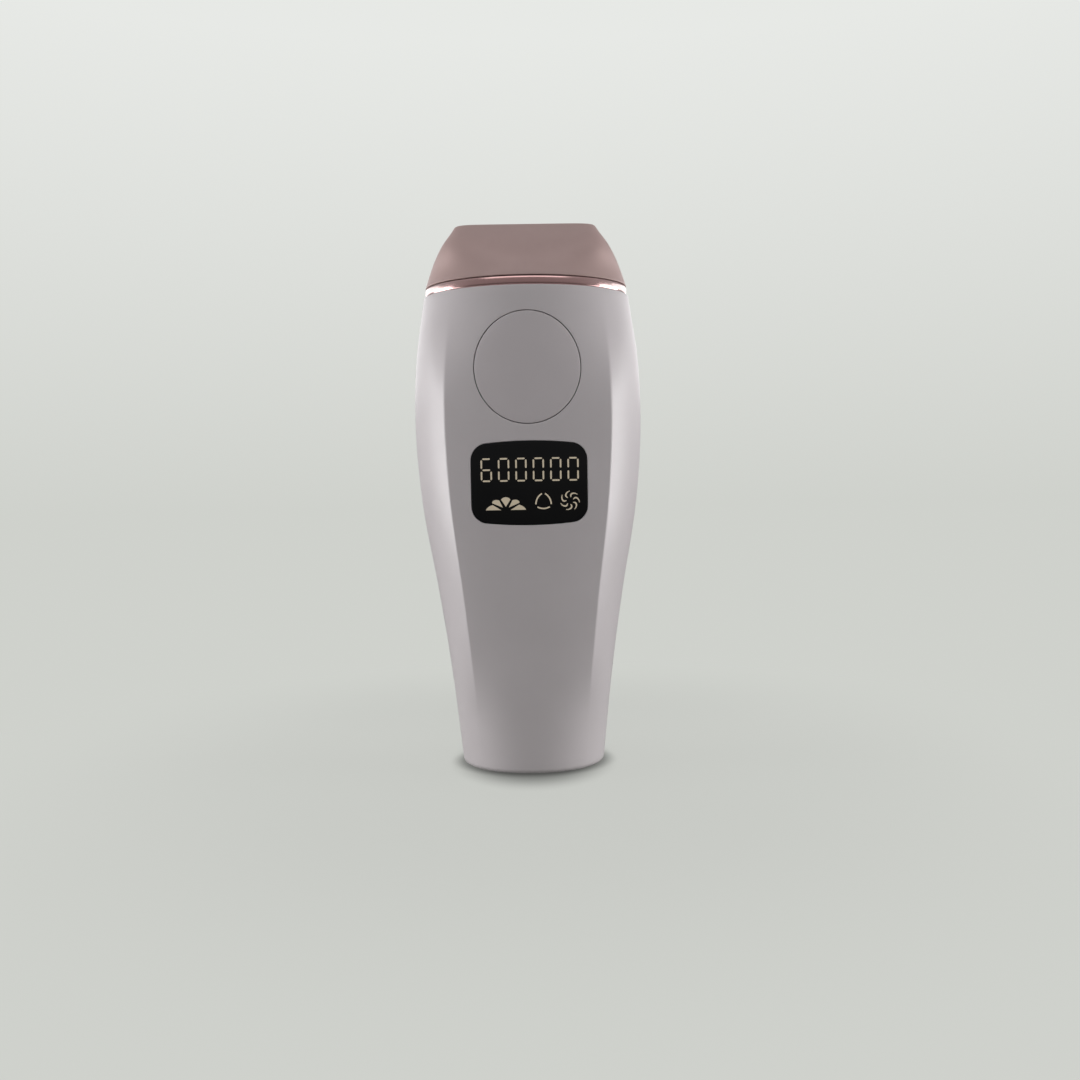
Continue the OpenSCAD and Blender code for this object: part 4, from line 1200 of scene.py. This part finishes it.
def paint_world():
    """Pale backdrop for the camera; as light, a dim front that brightens to the sides and back."""
    world = bpy.data.worlds.new("studio")
    bpy.context.scene.world = world
    world.use_nodes = True
    tree = world.node_tree
    links = tree.links
    tree.nodes.clear()
    output = tree.nodes.new("ShaderNodeOutputWorld")
    seen = tree.nodes.new("ShaderNodeBackground")
    light = node_of(tree, "ShaderNodeBackground", Color=(*SURROUND, 1))
    place = tree.nodes.new("ShaderNodeTexCoord")
    split = tree.nodes.new("ShaderNodeSeparateXYZ")
    links.new(place.outputs["Generated"], split.inputs["Vector"])
    levels = (SURROUND_FRONT, SURROUND_BACK)
    strength = ramp(tree, split.outputs["Y"], SURROUND_SPAN, levels, "SMOOTHSTEP")
    links.new(strength, light.inputs["Strength"])
    rise = ramp(tree, split.outputs["Z"], BACKDROP_RISE, (0, 1))
    links.new(tinted(tree, HORIZON, ZENITH, rise), seen.inputs["Color"])
    ray = tree.nodes.new("ShaderNodeLightPath")
    pick = tree.nodes.new("ShaderNodeMixShader")
    links.new(ray.outputs["Is Camera Ray"], pick.inputs["Fac"])
    links.new(light.outputs["Background"], pick.inputs[1])
    links.new(seen.outputs["Background"], pick.inputs[2])
    links.new(pick.outputs["Shader"], output.inputs["Surface"])


def softbox(name, place, aim, size_x, size_y, power):
    lamp = bpy.data.lights.new(name, "AREA")
    lamp.shape = "RECTANGLE"
    lamp.size, lamp.size_y = size_x, size_y
    lamp.energy = power
    box = bpy.data.objects.new(name, lamp)
    box.location = place
    box.rotation_euler = (Vector(aim) - Vector(place)).to_track_quat("-Z", "Y").to_euler()
    bpy.context.scene.collection.objects.link(box)


centre = Vector((0, 0, cad_high.z / 2))
make_floor()
paint_world()
# Softboxes as name, place, width, height and power; those at the sides come in mirrored pairs
SIDE_BOXES = [
    ("softbox", (0.5, 0.0, 0.075), 0.3, 0.3, 1.4),
    ("low_box", (0.34, -0.06, 0.04), 0.2, 0.08, 0.17),
    ("rim_box", (0.44, 0.38, 0.27), 0.75, 0.17, 0.45),
]
MIDDLE_BOXES = [
    ("front_fill", (0, -0.5, 0.6), 0.8, 0.3, 1.0),
    ("top_softbox", (0, 0.1, 0.9), 0.7, 0.7, 0.4),
]
for name, (x, y, z), width, height, power in SIDE_BOXES:
    for side, direction in (("left", -1), ("right", 1)):
        softbox(f"{side}_{name}", (direction * x, y, z), centre, width, height, power)
for name, place, width, height, power in MIDDLE_BOXES:
    softbox(name, place, centre, width, height, power)

# The camera stands where the photo's did: place in metres, turns in degrees, sensor and lens in mm
SENSOR = 36
LENS = 35
CAMERA_NEAR = 0.01
CAMERA_AT = (-0.0001, -0.3572, 0.0866)
CAMERA_YAW = -0.546
CAMERA_PITCH = -1.88
CAMERA_ROLL = -0.98
camera_data = bpy.data.cameras.new("camera")
camera_data.sensor_width = SENSOR
camera_data.lens = LENS
camera_data.clip_start = CAMERA_NEAR
camera = bpy.data.objects.new("camera", camera_data)
bpy.context.scene.collection.objects.link(camera)
camera_turns = [(CAMERA_YAW, "Z"), (90 + CAMERA_PITCH, "X"), (CAMERA_ROLL, "Z")]
camera.matrix_world = Matrix.Translation(CAMERA_AT)
for degrees, axis in camera_turns:
    camera.matrix_world = camera.matrix_world @ Matrix.Rotation(math.radians(degrees), 4, axis)
bpy.context.scene.camera = camera
bpy.context.scene.view_settings.view_transform = "Standard"
